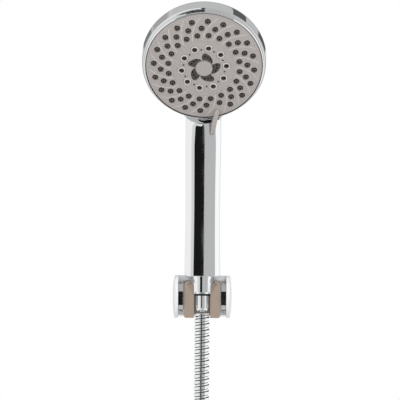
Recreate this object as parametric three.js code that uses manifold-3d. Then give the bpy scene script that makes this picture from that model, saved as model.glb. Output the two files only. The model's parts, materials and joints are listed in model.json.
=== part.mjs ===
// Handheld shower head in a swivelling wall holder, with its metal hose.
// Millimetres, +Z up. The wall is the plane y = 0 and the object stands in front of it, at y < 0.
// The origin is the centre of the wall plate's back face, level with the axis that the holder tilts on.
import * as THREE from 'three'
import { mergeVertices } from 'three/addons/utils/BufferGeometryUtils.js'
import { ConvexGeometry } from 'three/addons/geometries/ConvexGeometry.js'
import Module from 'manifold-3d'

// ---- clearances ----
const gap = 0.3

// ---- wall holder ----
const reach = 48
const barrelRadius = 17.8
const barrelFlat = 12.3
const cheekRadius = 18.9
const cheekThickness = 2.6
const capHeight = 1.9
const ringThickness = 0.7
const ringRadius = 9
const backTop = 17.2
const backRim = 0.8
const backWallFront = 11.5
const linerHalf = 16
const linerFront = 15
const linerBack = 13.2
const linerBottom = 18.2
const linerPeakX = 12.3
const linerPeakRise = 2.3
const slotHalf = 7.25
const barrelLobe = 4.8
const pivotShank = 2.6
const pivotHead = 4.6
const baseHalfX = 19.5
const baseHalfZ = 13.5
const baseThickness = 5
const baseBossDepth = 6
const wallHoleX = 13.5
const wallHoleRadius = 2.5
const grubRadius = 1.5

// ---- handle and hose joint ----
const handleEnd = 18.4
const handleEndHalf = 16.1
const handleWaistHalf = 15.5
const handleTopHalf = 16
// the grip's section is a rounded square, a little shallower than it is wide
const handleFlatness = 0.9
const handleCorner = 3.4
const handleLength = 137.8
const handleBore = 12.5
const handleShoulder = 31.3
const handleInnerBore = 11.3
const neckFlare = 16
// how far below the rim the grip's front starts
const rimRecess = 2.3
const threadRadius = 9.3
const nutRadius = 11.25
const nutTop = 23.8
const nutBottom = 2.8
const nutFloor = 2.4
const bushRadius = 8.9
const sleeveRadius = 5.5
const sleeveBore = 2.4
const hosePivot = -9.1
const tubeRadius = 9
const tubeBore = 7.5
// how far along the neck's curve the tube ends
const tubeEnd = 0.42
const grooves = [36, 41]
const insertBottom = 10.8
const insertTop = 46
const spigot = tubeBore - gap

// ---- head ----
const headTilt = THREE.MathUtils.degToRad(30.5)
const headRadius = 55
const rimRadius = headRadius - 1
const bezelDepth = 3
const bezelInner = rimRadius - 3.5
const faceRadius = bezelInner - gap
const faceRise = 5
const faceEdge = -0.6
const faceThickness = 2.2
const drumDepth = 17.5
const backDepth = 32.5
const drumSides = 28
const shellWall = 2.8
const capRadius = 7.4
const screwShank = 2.3
// the hub that the screw holds, the screw's seat in it and the cap's seat over it
const hubRadius = 5.8
const screwSeat = 0.4
const capSeat = 2.8
const plateFront = -4.6
const plateThickness = 2.7
const distributorFront = -9.5
const distributorThickness = 3.5

// ---- spray pattern ----
const ringCount = 20
// each ring's distance in from the face's edge, and the angle of its first nozzle
const nozzleRings = [[6.9, 14.2], [13, 21.6], [19.5, 29.1]]
const cupRadius = 2.6
const nubRadius = 1.75
const jetCount = 10
const jetRing = 19.4
const jetPhase = 6.8
const jetRadius = 1.9
const vaneCount = 5
const vaneInner = 7.9
const vaneOuter = 13.7
const insertLow = -1.2
const leverAngle = -75.8
const leverWidth = 4.2
const leverReach = 8.5
const sealPlace = [28, 0]
const detentPlace = [-30, 0]
const detentRadius = 1.5

// ---- hose ----
const hoseRadius = 7
const coilRadius = 70
const coilPitch = 14.8
const coilTurns = 3
const hoseStraight = -95
const bendRadius = 58
const coilShift = 22
const tailLength = 22
const tapNutAcross = 24
const tapNutHeight = 14

// ---- solids ----
const wasm = await Module()
wasm.setup()

function signedVolume(points, triangles) {
  const a = new THREE.Vector3()
  const b = new THREE.Vector3()
  const c = new THREE.Vector3()
  let sum = 0
  for (let i = 0; i < triangles.length; i += 3) {
    a.fromArray(points, 3 * triangles[i])
    b.fromArray(points, 3 * triangles[i + 1])
    c.fromArray(points, 3 * triangles[i + 2])
    sum += a.dot(b.cross(c))
  }
  return sum / 6
}

// a closed mesh as a solid, with shared corners merged and its faces pointing out
function solid(geometry) {
  const bare = new THREE.BufferGeometry()
  const flat = geometry.index ? geometry.toNonIndexed() : geometry
  bare.setAttribute('position', flat.attributes.position)
  const merged = mergeVertices(bare, 1e-4)
  const points = merged.attributes.position.array
  const index = merged.index.array
  const triangles = []
  for (let i = 0; i < index.length; i += 3) {
    const [a, b, c] = [index[i], index[i + 1], index[i + 2]]
    if (a !== b && b !== c && c !== a) triangles.push(a, b, c)
  }
  if (signedVolume(points, triangles) < 0) triangles.reverse()
  const vertProperties = Float32Array.from(points)
  const triVerts = Uint32Array.from(triangles)
  return new wasm.Manifold(new wasm.Mesh({ numProp: 3, vertProperties, triVerts }))
}

function geometryOf(shape) {
  const mesh = shape.getMesh()
  const geometry = new THREE.BufferGeometry()
  geometry.setAttribute('position', new THREE.BufferAttribute(mesh.vertProperties, 3))
  geometry.setIndex(new THREE.BufferAttribute(mesh.triVerts, 1))
  geometry.computeVertexNormals()
  return geometry
}

// a profile of [radius, height] points turned about +Z
function turned(profile, segments = 20) {
  const points = profile.map(([radius, height]) => new THREE.Vector2(radius, height))
  return new THREE.LatheGeometry(points, segments).rotateX(Math.PI / 2)
}

function rod(radius, low, high, segments = 20) {
  return turned([[0, low], [radius, low], [radius, high], [0, high]], segments)
}

function ring(inner, outer, low, high, segments = 18) {
  return turned([[inner, low], [outer, low], [outer, high], [inner, high], [inner, low]], segments)
}

// an O-ring of a round section about +Z
function oRing(radius, section, height, segments = 16) {
  return new THREE.TorusGeometry(radius, section, 5, segments).translate(0, 0, height)
}

function block(lowX, highX, lowY, highY, lowZ, highZ) {
  const size = [highX - lowX, highY - lowY, highZ - lowZ]
  const box = new THREE.BoxGeometry(...size)
  return box.translate((lowX + highX) / 2, (lowY + highY) / 2, (lowZ + highZ) / 2)
}

// an outline drawn in the YZ plane and pushed out along X, centred on x = 0
function pushedAlongX(outline, width) {
  const settings = { depth: width, bevelEnabled: false, curveSegments: 24 }
  const geometry = new THREE.ExtrudeGeometry(outline, settings).translate(0, 0, -width / 2)
  // the outline's own x and y become Y and Z
  const turn = new THREE.Matrix4().makeBasis(
    new THREE.Vector3(0, 1, 0), new THREE.Vector3(0, 0, 1), new THREE.Vector3(1, 0, 0))
  return geometry.applyMatrix4(turn)
}

// turns a piece made about +Z so that it lies along X, on the holder's tilt axis
function onTiltAxis(geometry, side = 1) {
  return geometry.rotateY(side * Math.PI / 2).translate(0, -reach, 0)
}

// a skin over rings of the same number of points, with its two ends closed
function loft(rings) {
  const count = rings[0].length
  const points = rings.flat()
  const triangles = []
  for (let i = 0; i + 1 < rings.length; i += 1) {
    for (let k = 0; k < count; k += 1) {
      const a = i * count + k
      const b = i * count + (k + 1) % count
      triangles.push(a, b, a + count, b, b + count, a + count)
    }
  }
  for (const [start, flip] of [[0, true], [(rings.length - 1) * count, false]]) {
    const centre = new THREE.Vector3()
    for (let k = 0; k < count; k += 1) centre.add(points[start + k])
    points.push(centre.divideScalar(count))
    for (let k = 0; k < count; k += 1) {
      const edge = [start + k, start + (k + 1) % count]
      if (flip) edge.reverse()
      triangles.push(edge[0], edge[1], points.length - 1)
    }
  }
  const geometry = new THREE.BufferGeometry().setFromPoints(points)
  geometry.setIndex(triangles)
  return geometry
}

// a section of half-width a along X and half-depth b across it, at a point of a curve in the YZ plane:
// an ellipse where power is 2, and squarer where it is more
function sectionAcross(point, tangent, a, b, count, power = 2) {
  const across = new THREE.Vector3(0, tangent.z, -tangent.y)
  const squared = (value) => Math.sign(value) * Math.abs(value) ** (2 / power)
  const section = []
  for (let k = 0; k < count; k += 1) {
    const angle = 2 * Math.PI * k / count
    const corner = point.clone()
    corner.x += a * squared(Math.cos(angle))
    corner.addScaledVector(across, b * squared(Math.sin(angle)))
    section.push(corner)
  }
  return section
}

// ---- materials ----
const chrome = () => new THREE.MeshStandardMaterial({ color: 0xd8dadd, roughness: 0.06, metalness: 1 })
const faceGrey = () => new THREE.MeshStandardMaterial({ color: 0xaaa49f, roughness: 0.45, metalness: 0 })
const darkRubber = () => new THREE.MeshStandardMaterial({ color: 0x4b4643, roughness: 0.7, metalness: 0 })
const blackRubber = () => new THREE.MeshStandardMaterial({ color: 0x1c1b1b, roughness: 0.8, metalness: 0 })
const innerPlastic = () => new THREE.MeshStandardMaterial({ color: 0xb9b9b6, roughness: 0.5, metalness: 0 })
const linerBeige = () => new THREE.MeshStandardMaterial({ color: 0xa59585, roughness: 0.55, metalness: 0 })
const steel = () => new THREE.MeshStandardMaterial({ color: 0x9b9c9e, roughness: 0.3, metalness: 1 })
const brass = () => new THREE.MeshStandardMaterial({ color: 0xb08d4c, roughness: 0.35, metalness: 1 })
const tieFabric = () => new THREE.MeshStandardMaterial({ color: 0x2a2a2c, roughness: 0.9, metalness: 0 })

const group = new THREE.Group()
const handset = new THREE.Group()
const head = new THREE.Group()
group.add(handset)
handset.add(head)

function add(parent, name, geometry, material) {
  const mesh = new THREE.Mesh(geometryOf(solid(geometry)), material)
  mesh.name = name
  parent.add(mesh)
}

// ---- where the head sits ----
// In the head's own frame +Z is the spray direction, +Y climbs the face and z = 0 is the front rim.
const neckHeight = handleEnd + handleLength
const rimBottomY = -reach - handleTopHalf
const headY = rimBottomY - headRadius * Math.sin(headTilt)
const headZ = neckHeight + headRadius * Math.cos(headTilt)
const headTurn = Math.PI / 2 + headTilt
head.position.set(0, headY, headZ)
head.rotation.x = headTurn

function intoHead(geometry) {
  return geometry.rotateX(headTurn).translate(0, headY, headZ)
}

// front surface of the spray face: a shallow dome
function domeHeight(radius) {
  return faceEdge + faceRise * (1 - (radius / faceRadius) ** 2)
}

function domeProfile(from, to, drop, steps) {
  const points = []
  for (let i = 0; i <= steps; i += 1) {
    const radius = from + (to - from) * i / steps
    points.push([radius, domeHeight(radius) - drop])
  }
  return points
}

// back surface of the spray face: a cone between the skirt and the massage insert
const backInner = 15.8
const backOuter = faceRadius - 1.6
function backHeight(radius) {
  const t = (radius - backInner) / (backOuter - backInner)
  return domeHeight(backInner) * (1 - t) + domeHeight(backOuter) * t - faceThickness
}

// ---- handset shell: drum, neck and handle in one moulding ----
// The neck's curve leaves the handle's axis and leans forward into the back of the drum.
function neckPath() {
  const backOfDrum = new THREE.Vector3(0, 0, 7 - drumDepth)
  backOfDrum.applyAxisAngle(new THREE.Vector3(1, 0, 0), headTurn)
  const into = new THREE.Vector3(0, headY, headZ).add(backOfDrum)
  const bend = neckHeight + 4
  return new THREE.CatmullRomCurve3([
    new THREE.Vector3(0, -reach, neckHeight - 22),
    new THREE.Vector3(0, -reach, neckHeight - 8),
    new THREE.Vector3(0, -reach - 0.6, bend),
    new THREE.Vector3(0, -reach - 3.4, bend + 15),
    new THREE.Vector3(0, -reach - 9.5, bend + 28),
    new THREE.Vector3(0, into.y + 3, into.z - 6),
  ], false, 'centripetal')
}

function neckLoft() {
  const path = neckPath()
  const steps = 7
  const rings = []
  for (let i = 0; i <= steps; i += 1) {
    const t = i / steps
    const flare = neckFlare * Math.max(0, t - 0.35) ** 2
    const depth = handleTopHalf * (handleFlatness + (1 - handleFlatness) * t)
    const power = handleCorner + (2.2 - handleCorner) * t
    const half = handleTopHalf + flare
    rings.push(sectionAcross(path.getPoint(t), path.getTangent(t), half, depth, 24, power))
  }
  return loft(rings)
}

// the waterway's passage through the neck
function neckPassage() {
  const path = neckPath()
  const steps = 4
  const rings = []
  for (let i = 0; i <= steps; i += 1) {
    const t = i / steps
    const radius = handleInnerBore
    rings.push(sectionAcross(path.getPoint(t), path.getTangent(t), radius, radius, 12))
  }
  return loft(rings)
}

// the grip, with a small chamfer at its lower end and a slight waist
function handleLoft() {
  const chamfer = 1
  const top = neckHeight - 21
  const levels = [[handleEndHalf - chamfer, handleEnd], [handleEndHalf, handleEnd + chamfer]]
  const steps = 5
  for (let i = 1; i <= steps; i += 1) {
    const t = i / steps
    const ends = handleEndHalf + (handleTopHalf - handleEndHalf) * t
    const dip = (handleEndHalf - handleWaistHalf) * Math.sin(Math.PI * t)
    levels.push([ends - dip, handleEnd + chamfer + (top - handleEnd - chamfer) * t])
  }
  const up = new THREE.Vector3(0, 0, 1)
  return loft(levels.map(([half, height]) => sectionAcross(
    new THREE.Vector3(0, -reach, height), up, half, half * handleFlatness, 24, handleCorner)))
}

function drumProfile() {
  const points = [[0, -bezelDepth - gap], [rimRadius + 0.1, -bezelDepth - gap]]
  points.push([headRadius, -drumDepth + 2], [headRadius, -drumDepth])
  // the back turns in through a small corner and then rises as a dome
  const corner = 4.5
  for (let i = 1; i <= 3; i += 1) {
    const angle = Math.PI / 2 * i / 4
    points.push([headRadius - corner * (1 - Math.cos(angle)), -drumDepth - corner * Math.sin(angle)])
  }
  const domeRadius = headRadius - corner
  const domeStart = -drumDepth - corner
  for (let i = 1; i <= 5; i += 1) {
    const radius = domeRadius * (1 - i / 5)
    points.push([radius, domeStart + (-backDepth - domeStart) * (1 - (radius / domeRadius) ** 2)])
  }
  return points
}

function drumHollow() {
  const inner = headRadius - shellWall
  const start = -drumDepth
  const points = [[0, 1], [inner, 1], [inner, start]]
  for (let i = 1; i <= 4; i += 1) {
    const radius = inner * (1 - i / 4)
    points.push([radius, start + (-backDepth + shellWall - start) * (1 - (radius / inner) ** 2)])
  }
  return points
}

function bodyShell() {
  const drum = solid(intoHead(turned(drumProfile(), 40)))
  const hollow = solid(intoHead(turned(drumHollow(), drumSides)))
  const bossTop = distributorFront - distributorThickness - gap
  const boss = solid(intoHead(rod(5, -backDepth + shellWall - 1.5, bossTop)))
  const bossHole = solid(intoHead(rod(screwShank + gap, -backDepth + shellWall + 3, 0)))
  const grip = solid(handleLoft())
  const bore = turned([
    [0, handleEnd - 1], [handleBore, handleEnd - 1], [handleBore, handleShoulder],
    [handleInnerBore, handleShoulder], [handleInnerBore, neckHeight - 12], [0, neckHeight - 12],
  ], 16).translate(0, -reach, 0)
  const neck = solid(neckLoft())
  const passage = solid(neckPassage())
  // the handle's top stops short of the rim, so that the rim stands clear of it
  const rimSpace = solid(intoHead(rod(rimRadius + 0.1 + rimRecess, -bezelDepth - gap, 40, 44)))
  const outside = grip.add(neck).subtract(rimSpace).add(drum)
  return outside.subtract(hollow).subtract(solid(bore)).subtract(passage).add(boss).subtract(bossHole)
}

// ---- spray face ----
function around(count, radius, phase) {
  const places = []
  for (let i = 0; i < count; i += 1) {
    const angle = THREE.MathUtils.degToRad(phase + 360 * i / count)
    places.push([radius * Math.cos(angle), radius * Math.sin(angle), angle])
  }
  return places
}

// the nozzle under the lever's root is left out
function nozzlePlaces() {
  const lever = THREE.MathUtils.degToRad(leverAngle)
  const apart = (angle) => Math.abs(Math.atan2(Math.sin(angle - lever), Math.cos(angle - lever)))
  const places = nozzleRings.flatMap(([inset, phase]) => around(ringCount, faceRadius - inset, phase))
  const outermost = faceRadius - nozzleRings[0][0]
  return places.filter(([x, y, angle]) => Math.hypot(x, y) < outermost - 1 || apart(angle) > 0.1)
}

// a crescent that is broad and round at its leading end and thins to a point at its trailing end
function crescent(inset) {
  const lead = 31 - 6 * inset
  const trail = -33 + 12 * inset
  const inner = vaneInner + inset
  const span = vaneOuter - vaneInner - 2 * inset
  const roundFrom = 0.72
  const outline = []
  for (const t of [0, 0.12, 0.3, 0.5, 0.72, 0.86, 0.95, 1]) {
    const rounding = Math.sqrt(Math.max(0, 1 - (Math.max(0, t - roundFrom) / (1 - roundFrom)) ** 2))
    outline.push([inner + 0.1 + span * t ** 0.7 * rounding, trail + (lead - trail) * t])
  }
  for (const t of [0.98, 0.66, 0.33, 0.02]) outline.push([inner, trail + (lead - trail) * t])
  const corner = ([radius, degrees]) => {
    const angle = THREE.MathUtils.degToRad(degrees)
    return new THREE.Vector2(radius * Math.cos(angle), radius * Math.sin(angle))
  }
  return new THREE.Shape(outline.map(corner))
}

function crescents(inset, low, high) {
  const settings = { depth: high - low, bevelEnabled: false }
  const one = new THREE.ExtrudeGeometry(crescent(inset), settings).translate(0, 0, low)
  return Array.from({ length: vaneCount }, (_, i) => solid(one.clone().rotateZ(2 * Math.PI * i / vaneCount)))
}

// the selector lever: a curved fin that grows from the face and reaches out over the rim
function lever() {
  const path = new THREE.QuadraticBezierCurve3(
    new THREE.Vector3(12.6, 9.2 - faceRadius, 0), new THREE.Vector3(9.4, 0.2 - faceRadius, 0),
    new THREE.Vector3(8, -leverReach - rimRadius, 0))
  const steps = 10
  const rings = []
  for (let i = 0; i <= steps; i += 1) {
    const t = i / steps
    const point = path.getPoint(t)
    const tangent = path.getTangent(t)
    const side = new THREE.Vector3(-tangent.y, tangent.x, 0)
    const radius = Math.hypot(point.x, point.y)
    // past the rim the underside climbs, because the handle's front climbs towards the spray there
    const overRim = 0.7 + 0.62 * Math.max(0, radius - rimRadius - 1.5)
    const low = radius < faceRadius - 4 ? domeHeight(radius) - 1.2 : overRim
    const high = domeHeight(Math.min(radius, faceRadius)) + 10.5 * Math.sin(Math.PI * (0.02 + 0.6 * t))
    const end = t > 0.85 ? 1 - 0.45 * ((t - 0.85) / 0.15) ** 2 : 1
    const half = leverWidth / 2 * (t < 0.15 ? 0.6 + 2.6 * t : end)
    const crown = high - (t > 0.85 ? 1.6 * ((t - 0.85) / 0.15) ** 2 : 0)
    const across = [[-half, low], [half, low], [half, crown - 1.2], [0.45 * half, crown],
      [-0.45 * half, crown], [-half, crown - 1.2]]
    rings.push(across.map(([s, z]) => point.clone().addScaledVector(side, s).setZ(z)))
  }
  return loft(rings)
}

function sprayFace() {
  const lip = faceEdge - bezelDepth - 0.4
  const back = lip - 1.8
  const front = domeProfile(capRadius + gap, faceRadius, 0, 2)
  const profile = [
    ...front, [faceRadius, lip], [faceRadius + 1.1, lip], [faceRadius + 1.1, back], [backOuter, back],
    [backOuter, backHeight(backOuter)], [backInner, backHeight(backInner)],
    [hubRadius, screwSeat + gap], [hubRadius, -0.9], [screwShank + gap, -0.9], [screwShank + gap, screwSeat],
    [4.8, screwSeat], [4.8, capSeat], [capRadius + gap, capSeat], front[0],
  ]
  let plate = solid(turned(profile, 36))
  for (const [x, y] of around(jetCount, jetRing, jetPhase)) {
    const low = domeHeight(jetRing) - faceThickness / 2
    plate = plate.add(solid(rod(3.2, low, domeHeight(jetRing) + 0.9, 8).translate(x, y, 0)))
  }
  const cuts = crescents(0, -2, 8)
  for (const [x, y] of around(jetCount, jetRing, jetPhase)) {
    cuts.push(solid(rod(jetRadius, -4, 8, 8).translate(x, y, 0)))
  }
  for (const [x, y, angle] of nozzlePlaces()) {
    cuts.push(solid(rod(cupRadius, -8, 8, 5).rotateZ(angle).translate(x, y, 0)))
  }
  for (const cut of cuts) plate = plate.subtract(cut)
  return plate.add(solid(lever()))
}

// one rubber mat: a web behind the face with a nub standing in every cup
function nozzleMat() {
  const inner = 25
  const outer = backOuter - gap
  const web = 1.4
  const start = [inner, backHeight(inner) - gap]
  const lower = [[outer, backHeight(outer) - gap - web], [inner, start[1] - web]]
  let mat = solid(turned([start, [outer, backHeight(outer) - gap], ...lower, start], 24))
  for (const [x, y, angle] of nozzlePlaces()) {
    const surface = domeHeight(Math.hypot(x, y))
    const foot = backHeight(Math.hypot(x, y)) - gap - web / 2
    const tip = surface + 0.2
    const nub = turned([[0, foot], [nubRadius + 0.5, foot], [nubRadius, tip], [0, tip]], 5)
    mat = mat.add(solid(nub.rotateZ(angle).translate(x, y, 0)))
  }
  return mat
}

function massageInsert() {
  const base = solid(ring(hubRadius + gap, 15.4, insertLow, 0.4, 28))
  return crescents(gap, 0, 3.3).reduce((whole, pad) => whole.add(pad), base)
}

function turbine() {
  const low = plateFront + 0.4
  const high = insertLow - 0.4
  let rotor = solid(ring(screwShank + gap, 5.2, low, high, 24))
  const blades = 7
  for (let i = 0; i < blades; i += 1) {
    const blade = block(-0.6, 0.6, 4.6, 13.6, low, high).rotateZ(0.35)
    rotor = rotor.add(solid(blade.rotateZ(2 * Math.PI * i / blades)))
  }
  return rotor
}

// the ring of slanted ports that turns the turbine
function turbineCage() {
  const low = plateFront + gap
  const high = insertLow - gap
  let cage = solid(ring(14.4, 16.4, low, high, 30))
  const ports = 6
  for (let i = 0; i < ports; i += 1) {
    const port = block(-1, 1, 10, 20, low + 1.2, high + 1).rotateZ(0.6)
    cage = cage.subtract(solid(port.rotateZ(2 * Math.PI * i / ports)))
  }
  return cage
}

// the plate that carries the mat and turns with the face
function waterPlate() {
  const low = plateFront - plateThickness
  const edge = faceRadius - 1.6 - gap
  let plate = solid(turned([
    [screwShank + gap, low], [edge, low], [edge, plateFront], [edge - 1.8, plateFront],
    [edge - 1.8, plateFront - 1.2], [17.4, plateFront - 1.2], [17.4, plateFront],
    [screwShank + gap, plateFront], [screwShank + gap, low],
  ], 28))
  for (const [x, y] of around(3, 10.5, 30)) {
    plate = plate.subtract(solid(rod(1.8, low - 1, plateFront + 1, 8).translate(x, y, 0)))
  }
  for (const [x, y] of around(3, 28, -28)) {
    plate = plate.subtract(solid(rod(3, low - 1, plateFront + 1, 8).translate(x, y, 0)))
  }
  return plate
}

// the fixed plate with the port that feeds one spray at a time
function distributor() {
  const low = distributorFront - distributorThickness
  const edge = headRadius - shellWall - gap
  let plate = solid(ring(screwShank + gap, edge, low, distributorFront, drumSides))
  const pocketFloor = low - 3
  const pocket = rod(detentRadius + 0.35, pocketFloor + 1.2, distributorFront + 1, 12)
  plate = plate.add(solid(rod(detentRadius + 1.8, pocketFloor, low + 1, 16).translate(...detentPlace, 0)))
  plate = plate.subtract(solid(pocket.translate(...detentPlace, 0)))
  return plate.subtract(solid(rod(2.9, low - 1, distributorFront + 1, 16).translate(...sealPlace, 0)))
}

// a wire spring about +Z
function spring(radius, wire, low, high, turns) {
  const points = []
  const steps = turns * 8
  for (let i = 0; i <= steps; i += 1) {
    const angle = 2 * Math.PI * i / 8
    const z = low + wire + (high - low - 2 * wire) * i / steps
    points.push(new THREE.Vector3(radius * Math.cos(angle), radius * Math.sin(angle), z))
  }
  const section = new THREE.Shape().absarc(0, 0, wire, 0, 2 * Math.PI)
  const extrudePath = new THREE.CatmullRomCurve3(points)
  return new THREE.ExtrudeGeometry(section, { extrudePath, steps, curveSegments: 3 })
}

add(handset, 'body_shell', geometryOf(bodyShell()), chrome())
add(head, 'bezel_ring', turned([
  [bezelInner, -bezelDepth], [rimRadius + 0.1, -bezelDepth], [rimRadius, -0.7], [rimRadius - 0.7, 0],
  [bezelInner + 0.5, 0], [bezelInner, -0.5], [bezelInner, -bezelDepth],
], 40), chrome())
add(head, 'spray_face', geometryOf(sprayFace()), faceGrey())
add(head, 'nozzle_mat', geometryOf(nozzleMat()), darkRubber())
add(head, 'massage_insert', geometryOf(massageInsert()), darkRubber())
add(head, 'centre_cap', turned([
  [0, capSeat + gap], [capRadius, capSeat + gap], [capRadius, 4.5], [capRadius - 1, 4.9], [0, 5.1],
], 32), faceGrey())
add(head, 'turbine', geometryOf(turbine()), innerPlastic())
add(head, 'turbine_cage', geometryOf(turbineCage()), innerPlastic())
add(head, 'water_plate', geometryOf(waterPlate()), innerPlastic())
add(head, 'distributor', geometryOf(distributor()), innerPlastic())
const sealHeight = (plateFront - plateThickness + distributorFront) / 2
add(head, 'face_oring', oRing(faceRadius - 5.2, 0.8, sealHeight, 28), blackRubber())
add(head, 'selector_seal', oRing(4.1, 0.8, sealHeight, 14).translate(...sealPlace, 0), blackRubber())
const ballHeight = plateFront - plateThickness - gap - detentRadius
const ball = new THREE.SphereGeometry(detentRadius, 12, 8)
add(head, 'detent_ball', ball.translate(...detentPlace, ballHeight), steel())
const springFloor = distributorFront - distributorThickness - 1.8 + gap
add(head, 'detent_spring', spring(1.2, 0.25, springFloor, ballHeight - detentRadius - gap + 0.1, 3)
  .translate(...detentPlace, 0), steel())
const washerTop = 1.2
add(head, 'screw_washer', ring(screwShank + gap, 4.5, screwSeat + gap, washerTop, 24), steel())
add(head, 'centre_screw', turned([
  [0, -24], [screwShank, -24], [screwShank, washerTop + gap], [4.1, washerTop + gap], [4.1, 2.4],
  [3.4, capSeat], [0, capSeat],
], 24), steel())

// ---- inside the handle ----
function waterTube() {
  const neck = neckPath()
  const points = [handleShoulder + gap, neckHeight / 2].map((z) => new THREE.Vector3(0, -reach, z))
  for (let i = 0; i <= 6; i += 1) points.push(neck.getPoint(tubeEnd * i / 6))
  const wall = new THREE.Shape().absarc(0, 0, tubeRadius, 0, 2 * Math.PI)
  wall.holes.push(new THREE.Path().absarc(0, 0, tubeBore, 0, 2 * Math.PI, true))
  const extrudePath = new THREE.CatmullRomCurve3(points, false, 'centripetal')
  return new THREE.ExtrudeGeometry(wall, { extrudePath, steps: 9, curveSegments: 8 })
}

function threadInsert() {
  const collar = handleShoulder - gap
  const profile = [
    [6.2, insertBottom], [threadRadius, insertBottom], [threadRadius, collar - 5],
    [handleBore - gap, collar - 5], [handleBore - gap, collar], [spigot, collar],
  ]
  for (const height of grooves) {
    profile.push([spigot, height], [spigot - 1.5, height])
    profile.push([spigot - 1.5, height + 2.1], [spigot, height + 2.1])
  }
  profile.push([spigot, insertTop], [4.2, insertTop], [4.2, insertBottom + 6])
  profile.push([6.2, insertBottom + 6], [6.2, insertBottom])
  return turned(profile, 16)
}

const onAxis = (geometry) => geometry.translate(0, -reach, 0)
add(handset, 'water_tube', waterTube(), innerPlastic())
add(handset, 'thread_insert', onAxis(threadInsert()), brass())
grooves.forEach((height, i) => {
  add(handset, `tube_oring_${i + 1}`, onAxis(oRing(spigot - 0.65, 0.7, height + 1.05, 16)), blackRubber())
})
const limiter = ring(1.6, 5.9, insertBottom + 0.6, insertBottom + 5.6, 24)
add(handset, 'flow_limiter', onAxis(limiter), blackRubber())

// ---- top end of the hose ----
const flangeLow = nutBottom + nutFloor + gap
const flangeHigh = flangeLow + 2.2
add(handset, 'cone_nut', onAxis(turned([
  [sleeveRadius + gap, nutBottom], [nutRadius - 1.5, nutBottom], [nutRadius - 0.1, nutBottom + 1.6],
  [nutRadius + 0.1, nutTop - 0.6], [nutRadius - 0.5, nutTop], [threadRadius + gap, nutTop],
  [threadRadius + gap, nutBottom + nutFloor], [sleeveRadius + gap, nutBottom + nutFloor],
  [sleeveRadius + gap, nutBottom],
], 24)), chrome())
add(handset, 'cone_washer', onAxis(ring(4.4, threadRadius - 0.1, flangeHigh + gap, insertBottom - gap, 20)),
  blackRubber())

const bushTop = nutBottom - gap
add(handset, 'cone_bush', onAxis(ring(sleeveRadius + gap, bushRadius, bushTop - 1.3, bushTop, 24)),
  blackRubber())

// the sleeve ends in a round nose centred on the point that the hose swings about
function hoseSleeve() {
  const flange = threadRadius - 0.2
  const profile = [[sleeveBore, flangeHigh], [flange, flangeHigh], [flange, flangeLow],
    [sleeveRadius, flangeLow], [sleeveRadius, hosePivot]]
  const last = Math.acos(sleeveBore / sleeveRadius)
  for (let i = 1; i <= 4; i += 1) {
    const angle = last * i / 4
    profile.push([sleeveRadius * Math.cos(angle), hosePivot - sleeveRadius * Math.sin(angle)])
  }
  profile.push([sleeveBore, flangeHigh])
  return turned(profile, 18)
}
add(handset, 'hose_sleeve', onAxis(hoseSleeve()), chrome())

// ---- hose: down from the sleeve, across to the coil, round it and out again ----
const hoseTop = hosePivot - sleeveRadius - gap
const sideways = Math.hypot(coilRadius, coilShift)
const bendAngle = Math.acos(1 - sideways / (2 * bendRadius))
const bendDrop = 2 * bendRadius * Math.sin(bendAngle)
const coilY = -reach + coilShift
// height above the coil's centre at which the hose, hanging beside it, first meets it
const coilStand = Math.sqrt((coilRadius + hoseRadius + gap) ** 2 - (coilRadius - hoseRadius) ** 2)
const coilZ = hoseStraight - bendDrop - coilStand
const coilEndY = coilY - coilTurns * coilPitch

// two equal arcs that carry the hose sideways from its fall to the side of the coil
function swayPoints() {
  const across = new THREE.Vector3(-coilRadius, coilShift, 0).divideScalar(sideways)
  const points = []
  const steps = 10
  for (let i = 0; i <= 2 * steps; i += 1) {
    const angle = bendAngle * (i <= steps ? i : 2 * steps - i) / steps
    const out = bendRadius * (1 - Math.cos(angle))
    const down = bendRadius * Math.sin(angle)
    const first = i <= steps
    const point = across.clone().multiplyScalar(first ? out : sideways - out)
    point.y -= reach
    point.z = first ? hoseStraight - down : hoseStraight - bendDrop + down
    points.push(point)
  }
  return points
}

function hoseTube(points, steps) {
  const section = new THREE.Shape().absarc(0, 0, hoseRadius, 0, 2 * Math.PI)
  const extrudePath = new THREE.CatmullRomCurve3(points, false, 'centripetal')
  return new THREE.ExtrudeGeometry(section, { extrudePath, steps, curveSegments: 6 })
}

const fall = [hoseTop, -30, -50, -70].map((z) => new THREE.Vector3(0, -reach, z))
add(group, 'hose', hoseTube([...fall, ...swayPoints()], 12), chrome())

function coilRing() {
  const inner = coilRadius - hoseRadius
  const outer = coilRadius + hoseRadius
  const low = coilEndY - hoseRadius
  const high = coilY + hoseRadius
  const edge = 1
  const profile = [
    [inner, low + edge], [inner + edge, low], [outer - edge, low], [outer, low + edge], [outer, high - edge],
    [outer - edge, high], [inner + edge, high], [inner, high - edge], [inner, low + edge],
  ]
  const points = profile.map(([radius, height]) => new THREE.Vector2(radius, height))
  return new THREE.LatheGeometry(points, 32).translate(0, 0, coilZ)
}
add(group, 'hose_coil', coilRing(), chrome())

// a strap round the turns, on the side away from the two ends
function coilTie() {
  const wall = 1.4
  const low = coilEndY - hoseRadius - gap
  const high = coilY + hoseRadius + gap
  const inner = coilRadius - hoseRadius - 0.8
  const outer = coilRadius + hoseRadius + gap
  const outside = solid(block(inner - wall, outer + wall, low - wall, high + wall, -6, 6))
  const inside = solid(block(inner, outer, low, high, -7, 7))
  return outside.subtract(inside).translate([0, 0, coilZ])
}
add(group, 'coil_tie', geometryOf(coilTie()), tieFabric())

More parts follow.
